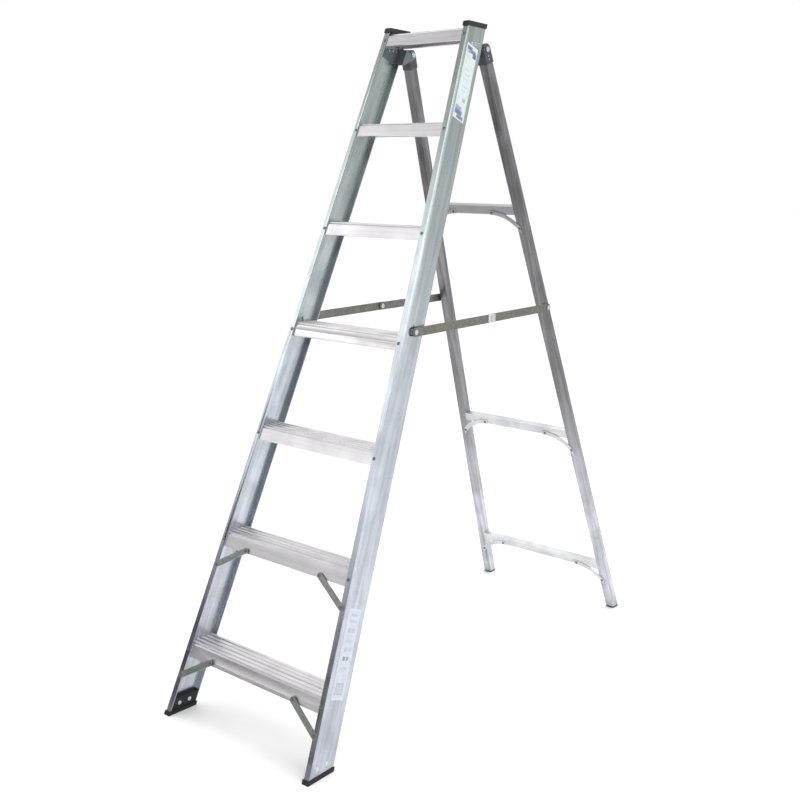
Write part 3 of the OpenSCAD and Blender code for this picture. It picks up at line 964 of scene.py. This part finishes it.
def grip_tree(material: bpy.types.Material) -> bpy.types.NodeTree:
    """Builds the tree that lays rows of grip teeth along a tread's ribs.

    Args:
        material: The treads' material.

    Returns:
        The geometry tree. Its inputs are the rows' length and pitch and the teeth's sizes, in metres.
    """
    sizes = ["Row Length", "Tooth Pitch", "Tooth Length", "Tooth Width", "Tooth Height", "Row Pitch"]
    tree = tree_with_inputs(
        "grip_teeth",
        [(label, "NodeSocketFloat", 0.01) for label in sizes]
        + [("Rows", "NodeSocketInt", 5), ("Centre", "NodeSocketVector", (0, 0, 0))],
    )
    start = add_node(tree, "NodeGroupInput")
    per_row = add_node(
        tree,
        "ShaderNodeMath",
        {"operation": "DIVIDE"},
        {},
        {0: start.outputs["Row Length"], 1: start.outputs["Tooth Pitch"]},
    )
    rows_less = add_node(
        tree, "ShaderNodeMath", {"operation": "SUBTRACT"}, {1: 1.0}, {0: start.outputs["Rows"]}
    )
    depth = add_node(
        tree,
        "ShaderNodeMath",
        {"operation": "MULTIPLY"},
        {},
        {0: rows_less.outputs["Value"], 1: start.outputs["Row Pitch"]},
    )
    grid = add_node(
        tree,
        "GeometryNodeMeshGrid",
        {},
        {},
        {
            "Size X": start.outputs["Row Length"],
            "Size Y": depth.outputs["Value"],
            "Vertices X": per_row.outputs["Value"],
            "Vertices Y": start.outputs["Rows"],
        },
    )
    moved = add_node(
        tree,
        "GeometryNodeSetPosition",
        {},
        {},
        {"Geometry": grid.outputs["Mesh"], "Offset": start.outputs["Centre"]},
    )
    # One tooth is a cone with four sides and a flat crown.
    tooth = add_node(
        tree,
        "GeometryNodeMeshCone",
        {"fill_type": "NGON"},
        {"Vertices": 4, "Radius Top": 0.42, "Radius Bottom": 0.7071, "Depth": 1.0},
    )
    squared = add_node(
        tree,
        "GeometryNodeTransform",
        {},
        {"Rotation": (0, 0, math.radians(45))},
        {"Geometry": tooth.outputs["Mesh"]},
    )
    size = add_node(
        tree,
        "ShaderNodeCombineXYZ",
        {},
        {},
        {
            "X": start.outputs["Tooth Length"],
            "Y": start.outputs["Tooth Width"],
            "Z": start.outputs["Tooth Height"],
        },
    )
    sized = add_node(
        tree,
        "GeometryNodeTransform",
        {},
        {},
        {"Geometry": squared.outputs["Geometry"], "Scale": size.outputs["Vector"]},
    )
    placed = add_node(
        tree,
        "GeometryNodeInstanceOnPoints",
        {},
        {},
        {"Points": moved.outputs["Geometry"], "Instance": sized.outputs["Geometry"]},
    )
    real = add_node(tree, "GeometryNodeRealizeInstances", links={"Geometry": placed.outputs["Instances"]})
    painted = add_node(
        tree, "GeometryNodeSetMaterial", {}, {"Material": material}, {"Geometry": real.outputs["Geometry"]}
    )
    add_node(tree, "NodeGroupOutput", links={"Geometry": painted.outputs["Geometry"]})
    return tree


# Sub-assemblies


@dataclass
class Finishes:
    """Every finish of the ladder, built once."""

    front_lean: float
    rear_lean: float
    top_height: float
    stile: bpy.types.Material = field(init=False)
    leg: bpy.types.Material = field(init=False)
    tread: bpy.types.Material = field(init=False)
    rung: bpy.types.Material = field(init=False)
    spreader: bpy.types.Material = field(init=False)
    brace: bpy.types.Material = field(init=False)
    zinc: bpy.types.Material = field(init=False)
    rivet: bpy.types.Material = field(init=False)
    cap: bpy.types.Material = field(init=False)
    rubber: bpy.types.Material = field(init=False)
    bracket: bpy.types.Material = field(init=False)
    shoe: bpy.types.Material = field(init=False)
    plug: bpy.types.Material = field(init=False)

    def __post_init__(self) -> None:
        """Builds the materials."""
        # Each aluminium's top colour is painted shade: the metal is painted darker towards the cap.
        self.stile = ExtrudedAluminium(
            "mill_aluminium_stile",
            Grain.ALONG_STILE,
            self.front_lean,
            low_colour="#c3c7d2",
            painted_shade_top_colour="#b6c0bf",
            patch_colour="#a9b0b3",
            top_height=self.top_height,
            roughness=0.25,
            anisotropy=0.4,
            banding=0.2,
        ).build()
        self.leg = ExtrudedAluminium(
            "mill_aluminium_leg",
            Grain.ALONG_LEG,
            -self.rear_lean,
            low_colour="#d0d3da",
            # Painted shade: the legs are painted much darker towards the top.
            painted_shade_top_colour="#807f82",
            patch_colour="#98999b",
            top_height=self.top_height,
            banding=0.34,
            painted_shade_from=0.12,
            painted_shade_to=0.46,
        ).build()
        self.tread = ExtrudedAluminium(
            "mill_aluminium_tread",
            Grain.ALONG_TREAD,
            0.0,
            low_colour="#e4e2e4",
            painted_shade_top_colour="#dcdadc",
            patch_colour="#cfcdd0",
            top_height=self.top_height,
            roughness=0.32,
            anisotropy=0.5,
        ).build()
        self.rung = ExtrudedAluminium(
            "mill_aluminium_rung",
            Grain.ALONG_TREAD,
            0.0,
            low_colour="#dfdfe2",
            painted_shade_top_colour="#95969b",
            # Painted shade: the upper rungs are painted darker than the lower ones.
            patch_colour="#b8b9bd",
            top_height=self.top_height,
        ).build()
        self.spreader = GalvanisedSteel("galvanised_steel_strip", "#74746d", "#82827c").build()
        self.brace = GalvanisedSteel("galvanised_steel_brace", "#8f938d", "#9ea29d", roughness=0.44).build()
        self.zinc = GalvanisedSteel(
            "bright_zinc_plate", "#c4ccce", "#d4dadc", roughness=0.34, spangle_size=3 * MM
        ).build()
        self.rivet = GalvanisedSteel(
            "plated_rivet_steel", "#6b6e72", "#7b7e82", roughness=0.36, spangle_size=2 * MM
        ).build()
        self.cap = MouldedPolymer(
            "moulded_polypropylene_black", "#0c0d0e", "#3a3c3f", 0.42, dust=0.15
        ).build()
        self.rubber = MouldedPolymer(
            "moulded_rubber_black", "#0b0c0e", "#3c4046", 0.62, pebble=1.3 * MM, dust=0.2, ior=1.52
        ).build()
        self.bracket = CoatedSteel("coated_steel_grey", "#6a7377", "#8d9498").build()
        self.shoe = MouldedPolymer(
            "moulded_nylon_dark_grey", "#33393d", "#787f84", 0.48, pebble=0.7 * MM, ior=1.53
        ).build()
        self.plug = MouldedPolymer("moulded_polypropylene_grey", "#3b3f42", "#7c8084", 0.5).build()


@dataclass
class RivetSet:
    """Domed rivets that stand for one CAD node's plain ones."""

    node: str
    body: str
    piece_name: str
    axis: Vector
    scale: float = 1.0
    both_ends: bool = True
    rim_share: float = 0.97
    seed: int = 11

    def seats(self) -> tuple[list[Vector], list[Vector]]:
        """Finds each rivet's seat and the way it faces.

        Returns:
            The seats' places and their outward directions, heads first and then tails.
        """
        places: list[Vector] = []
        ways: list[Vector] = []
        axis = np.array(self.axis)
        for solid in islands(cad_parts[self.node]):
            along = solid @ axis
            middle = (solid.max(axis=0) + solid.min(axis=0)) / 2
            centre = middle - axis * (middle @ axis)
            radial = np.linalg.norm(solid - np.outer(along, axis) - centre, axis=1)
            seat = float(along[radial > radial.max() * self.rim_share].mean())
            towards_high = along.max() - seat < seat - along.min()
            way = axis if towards_high else -axis
            places.append(Vector(centre + axis * seat))
            ways.append(Vector(way))
            if self.both_ends:
                tail = self.tail_seat(along, radial, towards_high)
                places.append(Vector(centre + axis * tail))
                ways.append(Vector(-way))
        return places, ways

    def tail_seat(self, along: np.ndarray, radial: np.ndarray, towards_high: bool) -> float:
        """Finds where a rivet's tail meets the wall.

        Args:
            along: Each point's place along the rivet.
            radial: Each point's distance from the rivet's axis.
            towards_high: Whether the head is at the high end.

        Returns:
            The tail's seat along the axis.
        """
        middle = (along.max() + along.min()) / 2
        half = along < middle if towards_high else along > middle
        widest = radial[half].max()
        return float(along[half][radial[half] > widest * self.rim_share].mean())

    def build(self, material: bpy.types.Material) -> bpy.types.Object:
        """Builds the rivets as one piece.

        Args:
            material: The rivets' material.

        Returns:
            The piece, riding on its body in place of the CAD node.
        """
        places, ways = self.seats()
        head = bpy.data.objects.new("rivet_head", RivetShape().mesh("rivet_head"))
        host = point_host(self.piece_name + "_points", places, ways)
        piece = run_tree(
            host, rivet_tree(material), {"Head": head, "Scale": self.scale, "Seed": self.seed}, self.piece_name
        )
        bpy.data.objects.remove(head)
        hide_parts(self.node)
        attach(piece, self.body)
        return piece


@dataclass
class FrontFrame:
    """The climbing side: stiles, treads, braces, caps, feet and hinge brackets."""

    finishes: Finishes
    tread_names: tuple[str, ...] = tuple(f"tread_{i}" for i in range(1, 7)) + ("top_tread",)
    rib_count: int = 5
    rib_pitch: float = 15 * MM
    rib_width: float = 8 * MM
    rib_height: float = 1.5 * MM
    tooth_pitch: float = 6 * MM
    tooth_length: float = 3.4 * MM
    tooth_height: float = 0.8 * MM
    tooth_sink: float = 0.02 * MM
    row_margin: float = 4 * MM
    lip_height: float = 35 * MM
    splay: float = math.radians(3.3)
    crown_depth: float = 0.05 * MM
    edge: float = 0.5 * MM

    def dress(self) -> None:
        """Gives the frame's CAD nodes their finishes and rounds their edges."""
        stiles = both_sides("front_stile")
        braces = both_sides("knee_brace_1") + both_sides("knee_brace_2")
        dress(stiles, self.finishes.stile)
        dress(braces, self.finishes.brace)
        dress(self.tread_names, self.finishes.tread)
        dress(both_sides("stile_cap"), self.finishes.cap)
        dress(both_sides("front_foot"), self.finishes.rubber)
        dress(both_sides("hinge_bracket"), self.finishes.bracket)
        pins = both_sides("hinge_pin") + ["spreader_front_pivots"]
        dress(pins, self.finishes.zinc)
        soften_edges(stiles + list(self.tread_names) + braces, self.edge)
        soften_edges(both_sides("stile_cap") + both_sides("front_foot"), 2 * self.edge)
        soften_edges(both_sides("hinge_bracket") + pins, self.edge)
        LOG.info("front frame: dressed %d treads and %d stiles", len(self.tread_names), len(stiles))

    def grip_teeth(self, name: str) -> bpy.types.Object:
        """Lays the grip teeth along one tread's ribs.

        Args:
            name: The tread's CAD node.

        Returns:
            The teeth as one piece.
        """
        low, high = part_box(name)
        lean = self.finishes.front_lean
        host = point_host(name + "_teeth_host", [Vector((0, 0, 0))], [Vector((0, 0, 1))])
        # The tread is widest at its lip's lower edge, because the stiles slope inwards.
        taper = 2 * (self.rib_height + self.lip_height) * math.tan(self.splay)
        length = (high[0] - low[0]) - 2 * self.row_margin - taper
        piece = run_tree(
            host,
            grip_tree(self.finishes.tread),
            {
                "Row Length": length,
                "Tooth Pitch": self.tooth_pitch,
                "Tooth Length": self.tooth_length,
                "Tooth Width": self.rib_width / math.cos(lean) - 2 * self.edge,
                "Tooth Height": self.tooth_height,
                "Row Pitch": self.rib_pitch / math.cos(lean),
                "Rows": self.rib_count,
                "Centre": (0.0, self.ribbed_middle(name), high[2] - self.tooth_sink),
            },
            name + "_grip_teeth",
        )
        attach(piece, "front_frame")
        return piece

    def ribbed_middle(self, name: str) -> float:
        """Finds the middle of a tread's ribbed face, front to back, from its highest points."""
        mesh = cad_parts[name].data
        points = np.empty(len(mesh.vertices) * 3)
        mesh.vertices.foreach_get("co", points)
        points = points.reshape(-1, 3)
        crown = points[points[:, 2] > points[:, 2].max() - self.crown_depth]
        return float((crown[:, 1].min() + crown[:, 1].max()) / 2)

    def build(self) -> list[bpy.types.Object]:
        """Dresses the frame and builds its teeth and rivets.

        Returns:
            The new pieces.
        """
        self.dress()
        pieces = [self.grip_teeth(name) for name in self.tread_names]
        lean = self.finishes.front_lean
        through = Vector((0.0, math.cos(lean), -math.sin(lean)))
        for node, name in (("tread_rivets", "tread_rivet_heads"), ("knee_brace_rivets", "brace_rivet_heads")):
            pieces.append(RivetSet(node, "front_frame", name, through).build(self.finishes.rivet))
        return pieces


@dataclass
class RearFrame:
    """The folding prop: legs, rungs, gussets, hinge shoes and feet."""

    finishes: Finishes
    rung_names: tuple[str, ...] = ("rear_rung_top", "rear_rung_middle", "rear_rung_bottom")
    levels: tuple[str, ...] = ("top", "middle", "bottom")
    edge: float = 0.5 * MM

    def build(self) -> list[bpy.types.Object]:
        """Dresses the frame and builds its rivets.

        Returns:
            The new pieces.
        """
        legs = both_sides("rear_leg")
        gussets = [name for level in self.levels for name in both_sides(f"gusset_{level}")]
        shoes = both_sides("hinge_shoe")
        dress(legs, self.finishes.leg)
        dress(self.rung_names, self.finishes.rung)
        dress(gussets, self.finishes.rung)
        dress(shoes, self.finishes.shoe)
        dress(both_sides("rear_foot"), self.finishes.plug)
        dress(["spreader_rear_pivots", "hinge_shoe_rivets"], self.finishes.zinc)
        soften_edges(legs + list(self.rung_names) + gussets, self.edge)
        soften_edges(shoes + both_sides("rear_foot"), 2 * self.edge)
        lean = self.finishes.rear_lean
        through = Vector((0.0, math.cos(lean), math.sin(lean)))
        rivets = RivetSet("gusset_rivets", "rear_frame", "gusset_rivet_heads", through)
        LOG.info("rear frame: dressed %d rungs and %d gussets", len(self.rung_names), len(gussets))
        return [rivets.build(self.finishes.rivet)]


@dataclass
class Spreader:
    """One side's folding bar: two links, the knuckle's rivet halves and its stop plate."""

    side: Side
    finishes: Finishes
    edge: float = 0.4 * MM

    def build(self) -> None:
        """Dresses the spreader's CAD nodes."""
        name = self.side.name.lower()
        links = [f"spreader_front_link_{name}", f"spreader_rear_link_{name}"]
        knuckle = [f"knuckle_rivet_front_{name}", f"knuckle_rivet_rear_{name}"]
        dress(links, self.finishes.spreader)
        dress(knuckle + [f"knuckle_stop_{name}"], self.finishes.zinc)
        soften_edges(links + knuckle + [f"knuckle_stop_{name}"], self.edge)
        LOG.info("spreader %s: dressed", name)


@dataclass
class Labels:
    """The two plain stickers on the right stile's web."""

    lean: float
    splay: float = math.radians(3.3)

    def film(self, node: str, paper: str, blocks: tuple[Block, ...]) -> bpy.types.Material:
        """Builds one label's printed film on its own axes.

        Args:
            node: The label's CAD node.
            paper: The film's ground colour.
            blocks: The printed blocks.

        Returns:
            The material.
        """
        up = Vector(
            (
                -math.sin(self.splay),
                math.cos(self.splay) * math.sin(self.lean),
                math.cos(self.splay) * math.cos(self.lean),
            )
        )
        across = Vector((0.0, math.cos(self.lean), -math.sin(self.lean)))
        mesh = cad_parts[node].data
        points = [v.co for v in mesh.vertices]
        across_places = [p.dot(across) for p in points]
        up_places = [p.dot(up) for p in points]
        outward = across.cross(up)
        origin = across * min(across_places) + up * min(up_places) + outward * points[0].dot(outward)
        return PrintedFilm(
            f"printed_film_{node}",
            paper,
            blocks,
            origin,
            across,
            up,
            max(across_places) - min(across_places),
            max(up_places) - min(up_places),
        ).build()

    def build(self) -> None:
        """Prints both labels."""
        upper = (
            Block(0.5, 0.5, 0.86, 0.62, "#d3dfdf"),
            Block(0.3, 0.945, 0.44, 0.05, "#66739c"),
            Block(0.62, 0.92, 0.5, 0.05, "#7581a5"),
            Block(0.8, 0.885, 0.3, 0.07, "#5c6a97"),
            Block(0.28, 0.9, 0.2, 0.03, "#98a4bf"),
            Block(0.3, 0.825, 0.34, 0.05, "#d4d4bb"),
            Block(0.42, 0.66, 0.44, 0.012, "#bac6c8"),
            Block(0.5, 0.6, 0.5, 0.012, "#bac6c8"),
            Block(0.46, 0.54, 0.42, 0.012, "#bfcacc"),
            Block(0.5, 0.44, 0.5, 0.012, "#bac6c8"),
            Block(0.44, 0.38, 0.4, 0.012, "#bfcacc"),
            Block(0.66, 0.27, 0.26, 0.045, "#c4a6aa"),
            Block(0.34, 0.15, 0.5, 0.05, "#98a2bd"),
            Block(0.4, 0.095, 0.62, 0.06, "#6d799b"),
            Block(0.6, 0.04, 0.56, 0.045, "#7883a0"),
        )
        lower = (
            Block(0.5, 0.5, 0.9, 0.96, "#ccd3df"),
            Block(0.5, 0.93, 0.5, 0.03, "#b6bec9"),
            Block(0.5, 0.86, 0.66, 0.03, "#bec6d1"),
            Block(0.36, 0.76, 0.24, 0.05, "#b2bac4"),
            Block(0.68, 0.76, 0.24, 0.05, "#b9c1cb"),
            Block(0.5, 0.64, 0.62, 0.03, "#bec6d1"),
            Block(0.36, 0.55, 0.24, 0.05, "#b5bdc7"),
            Block(0.68, 0.55, 0.24, 0.05, "#bac2cc"),
            Block(0.36, 0.45, 0.2, 0.045, "#848c95"),
            Block(0.64, 0.45, 0.2, 0.045, "#969ea7"),
            Block(0.5, 0.34, 0.6, 0.03, "#bec6d1"),
            Block(0.5, 0.12, 0.62, 0.13, "#aab3bb"),
            Block(0.5, 0.12, 0.5, 0.1, "#bac3cb"),
        )
        dress(["upper_label"], self.film("upper_label", "#cfdcda", upper))
        dress(["lower_label"], self.film("lower_label", "#d3dbe6", lower))
        LOG.info("labels: printed 2 plain films")


@dataclass
class Studio:
    """The floor, the soft lights and the camera."""

    floor_radius: float = 60.0
    floor_colour: str = "#ffffff"
    sky_level: float = 1.0
    camera_place: tuple[float, float, float] = (1.9452, -2.4995, 1.4022)
    yaw: float = math.radians(39.372)
    pitch: float = math.radians(-5.880)
    roll: float = math.radians(1.235)
    focal_length: float = 48.79
    shift_up: float = -0.125
    flag_place: tuple[float, float, float] = (-1.05, -1.75, 0.0)
    flag_width: float = 2.4
    flag_height: float = 0.6

    def floor(self) -> None:
        """Lays a plain pale floor."""
        mesh = bpy.data.meshes.new("studio_floor")
        turns = [2 * math.pi * k / 64 for k in range(64)]
        rim = [(self.floor_radius * math.cos(a), self.floor_radius * math.sin(a), 0.0) for a in turns]
        mesh.from_pydata(rim, [], [tuple(range(len(rim)))])
        plane = bpy.data.objects.new("studio_floor", mesh)
        bpy.context.scene.collection.objects.link(plane)
        material, tree, shader = new_material("studio_floor_paint")
        mottle = add_node(tree, "ShaderNodeTexNoise", {}, {"Scale": 1.5}, {"Vector": object_point(tree)})
        rough = add_node(
            tree, "ShaderNodeMapRange", {}, {"To Min": 0.85, "To Max": 0.95}, {"Value": mottle.outputs["Fac"]}
        )
        tree.links.new(rough.outputs["Result"], shader.inputs["Roughness"])
        shader.inputs["Base Color"].default_value = srgb(self.floor_colour)
        mesh.materials.append(material)

    def flag(self) -> None:
        """Stands a low dark board at the front left, seen only as the low metal's reflection."""
        along = Vector((0.72, -0.69, 0.0)) * (self.flag_width / 2)
        foot = Vector(self.flag_place)
        rise = Vector((0.0, 0.0, self.flag_height))
        mesh = bpy.data.meshes.new("studio_flag")
        corners = [foot - along, foot + along, foot + along + rise, foot - along + rise]
        mesh.from_pydata([tuple(c) for c in corners], [], [(0, 1, 2, 3)])
        board = bpy.data.objects.new("studio_flag", mesh)
        bpy.context.scene.collection.objects.link(board)
        board.visible_camera = False
        board.visible_diffuse = False
        board.visible_shadow = False
        material, tree, shader = new_material("studio_flag_felt")
        nap = add_node(tree, "ShaderNodeTexNoise", {}, {"Scale": 300.0}, {"Vector": object_point(tree)})
        bump = add_node(
            tree, "ShaderNodeBump", {}, {"Strength": 0.3, "Distance": MM}, {"Height": nap.outputs["Fac"]}
        )
        tree.links.new(bump.outputs["Normal"], shader.inputs["Normal"])
        shader.inputs["Base Color"].default_value = srgb("#2c2d2e")
        shader.inputs["Roughness"].default_value = 0.95
        mesh.materials.append(material)

    def panel(
        self, name: str, place: Vector, target: Vector, size: tuple[float, float], power: float
    ) -> None:
        """Hangs one soft rectangular light.

        Args:
            name: The light's name.
            place: Where it hangs.
            target: The point that it faces.
            size: Its width and height, in metres.
            power: Its power, in watts.
        """
        lamp = bpy.data.lights.new(name, "AREA")
        lamp.shape = "RECTANGLE"
        lamp.size, lamp.size_y = size
        lamp.energy = power
        light = bpy.data.objects.new(name, lamp)
        light.location = place
        light.rotation_euler = (target - place).to_track_quat("-Z", "Y").to_euler()
        bpy.context.scene.collection.objects.link(light)

    def toward(
        self,
        tree: bpy.types.NodeTree,
        way: bpy.types.NodeSocket,
        aim: tuple[float, float, float],
        between: tuple[float, float],
        levels: tuple[float, float],
    ) -> bpy.types.NodeSocket:
        """Shades the surround by how nearly a direction points at an aim.

        Args:
            tree: The world's tree.
            way: The direction.
            aim: The unit direction aimed at.
            between: The cosines at which the shade starts and ends.
            levels: The shade at the start and at the end.

        Returns:
            The shade.
        """
        cosine = add_node(tree, "ShaderNodeVectorMath", {"operation": "DOT_PRODUCT"}, {1: aim}, {0: way})
        shade = add_node(
            tree,
            "ShaderNodeMapRange",
            {"interpolation_type": "SMOOTHSTEP"},
            {"From Min": between[0], "From Max": between[1], "To Min": levels[0], "To Max": levels[1]},
            {"Value": cosine.outputs["Value"]},
        )
        return shade.outputs["Result"]

    def surround(self) -> None:
        """Sets a pale surround that is brighter overhead and behind than in front."""
        world = bpy.data.worlds.new("studio_surround")
        bpy.context.scene.world = world
        world.use_nodes = True
        tree = world.node_tree
        tree.nodes.clear()
        way = add_node(tree, "ShaderNodeTexCoord").outputs["Generated"]
        parts = add_node(tree, "ShaderNodeSeparateXYZ", links={"Vector": way})
        rise = add_node(tree, "ShaderNodeValToRGB", links={"Fac": parts.outputs["Z"]})
        set_ramp(rise, [(0.0, grey(1.0)), (0.25, grey(1.02)), (0.6, grey(1.25)), (1.0, grey(1.5))])
        behind = add_node(
            tree,
            "ShaderNodeMapRange",
            {"interpolation_type": "SMOOTHSTEP"},
            {"From Min": -0.95, "From Max": 0.5, "To Min": 0.5, "To Max": 1.05},
            {"Value": parts.outputs["Y"]},
        )
        mixed = add_node(
            tree,
            "ShaderNodeVectorMath",
            {"operation": "SCALE"},
            {},
            {0: rise.outputs["Color"], "Scale": behind.outputs["Result"]},
        )
        # The front left holds a dark wall below, a long bright window strip, and a dark ceiling edge.
        front_left = self.toward(tree, way, (-0.69, -0.72, 0.0), (0.25, 0.75), (0.0, 1.0))
        strip = add_node(tree, "ShaderNodeValToRGB", links={"Fac": parts.outputs["Z"]})
        set_ramp(
            strip,
            [
                (0.0, grey(0.1)),
                (0.18, grey(0.16)),
                (0.27, grey(1.3)),
                (0.34, grey(2.0)),
                (0.5, grey(2.0)),
                (0.57, grey(0.35)),
                (0.8, grey(0.25)),
                (1.0, grey(1.2)),
            ],
        )
        with_strip = add_node(
            tree,
            "ShaderNodeMix",
            {"data_type": "RGBA"},
            {},
            {0: front_left, 6: mixed.outputs["Vector"], 7: strip.outputs["Color"]},
        )
        # The back right is a little darker, so the right web stays greyer than the treads.
        back_right = self.toward(tree, way, (0.62, 0.78, 0.0), (0.4, 0.9), (1.0, 0.68))
        mixed = add_node(
            tree,
            "ShaderNodeVectorMath",
            {"operation": "SCALE"},
            {},
            {0: with_strip.outputs[2], "Scale": back_right},
        )
        lit = add_node(
            tree, "ShaderNodeBackground", {}, {"Strength": self.sky_level}, {"Color": mixed.outputs["Vector"]}
        )
        seen = add_node(tree, "ShaderNodeBackground", {}, {"Color": grey(1.0), "Strength": 1.0})
        path = add_node(tree, "ShaderNodeLightPath")
        both = add_node(
            tree,
            "ShaderNodeMixShader",
            {},
            {},
            {0: path.outputs["Is Camera Ray"], 1: lit.outputs["Background"], 2: seen.outputs["Background"]},
        )
        add_node(tree, "ShaderNodeOutputWorld", links={"Surface": both.outputs["Shader"]})

    def camera(self) -> None:
        """Sets the camera."""
        lens = bpy.data.cameras.new("studio_camera")
        lens.lens = self.focal_length
        lens.sensor_width = 36.0
        lens.shift_y = self.shift_up
        camera = bpy.data.objects.new("studio_camera", lens)
        turn = (
            Matrix.Rotation(self.yaw, 4, "Z")
            @ Matrix.Rotation(math.radians(90) + self.pitch, 4, "X")
            @ Matrix.Rotation(self.roll, 4, "Z")
        )
        camera.matrix_world = Matrix.Translation(self.camera_place) @ turn
        bpy.context.scene.collection.objects.link(camera)
        bpy.context.scene.camera = camera

    def build(self) -> None:
        """Builds the whole studio."""
        self.floor()
        self.flag()
        self.surround()
        middle = Vector((0.0, 0.0, 0.9))
        self.panel("overhead_panel", Vector((0.8, 0.9, 4.4)), middle, (3.6, 3.6), 42.0)
        self.panel("right_panel", Vector((4.4, 1.2, 2.2)), middle, (2.2, 2.8), 34.0)
        self.panel("left_panel", Vector((-4.2, -1.0, 2.4)), middle, (1.8, 2.4), 20.0)
        self.camera()
        bpy.context.scene.view_settings.view_transform = "Standard"
        LOG.info("studio: floor, flag, 3 panels and camera")


def main() -> None:
    """Builds the studio and every sub-assembly in order, and reports each one."""
    logging.basicConfig(level=logging.INFO, format="%(name)s: %(message)s")
    Studio().build()
    finishes = Finishes(
        front_lean=math.radians(21), rear_lean=math.radians(21), top_height=float(CAD_BOX[1][2])
    )
    for piece in FrontFrame(finishes).build() + RearFrame(finishes).build():
        LOG.info("%s: %d faces", piece.name, len(piece.data.polygons))
    for side in Side:
        Spreader(side, finishes).build()
    Labels(finishes.front_lean).build()
    dress(["front_foot_rivets"], finishes.zinc)
    dress(["hinge_bracket_rivets"], finishes.stile)


if __name__ == "__main__":
    main()
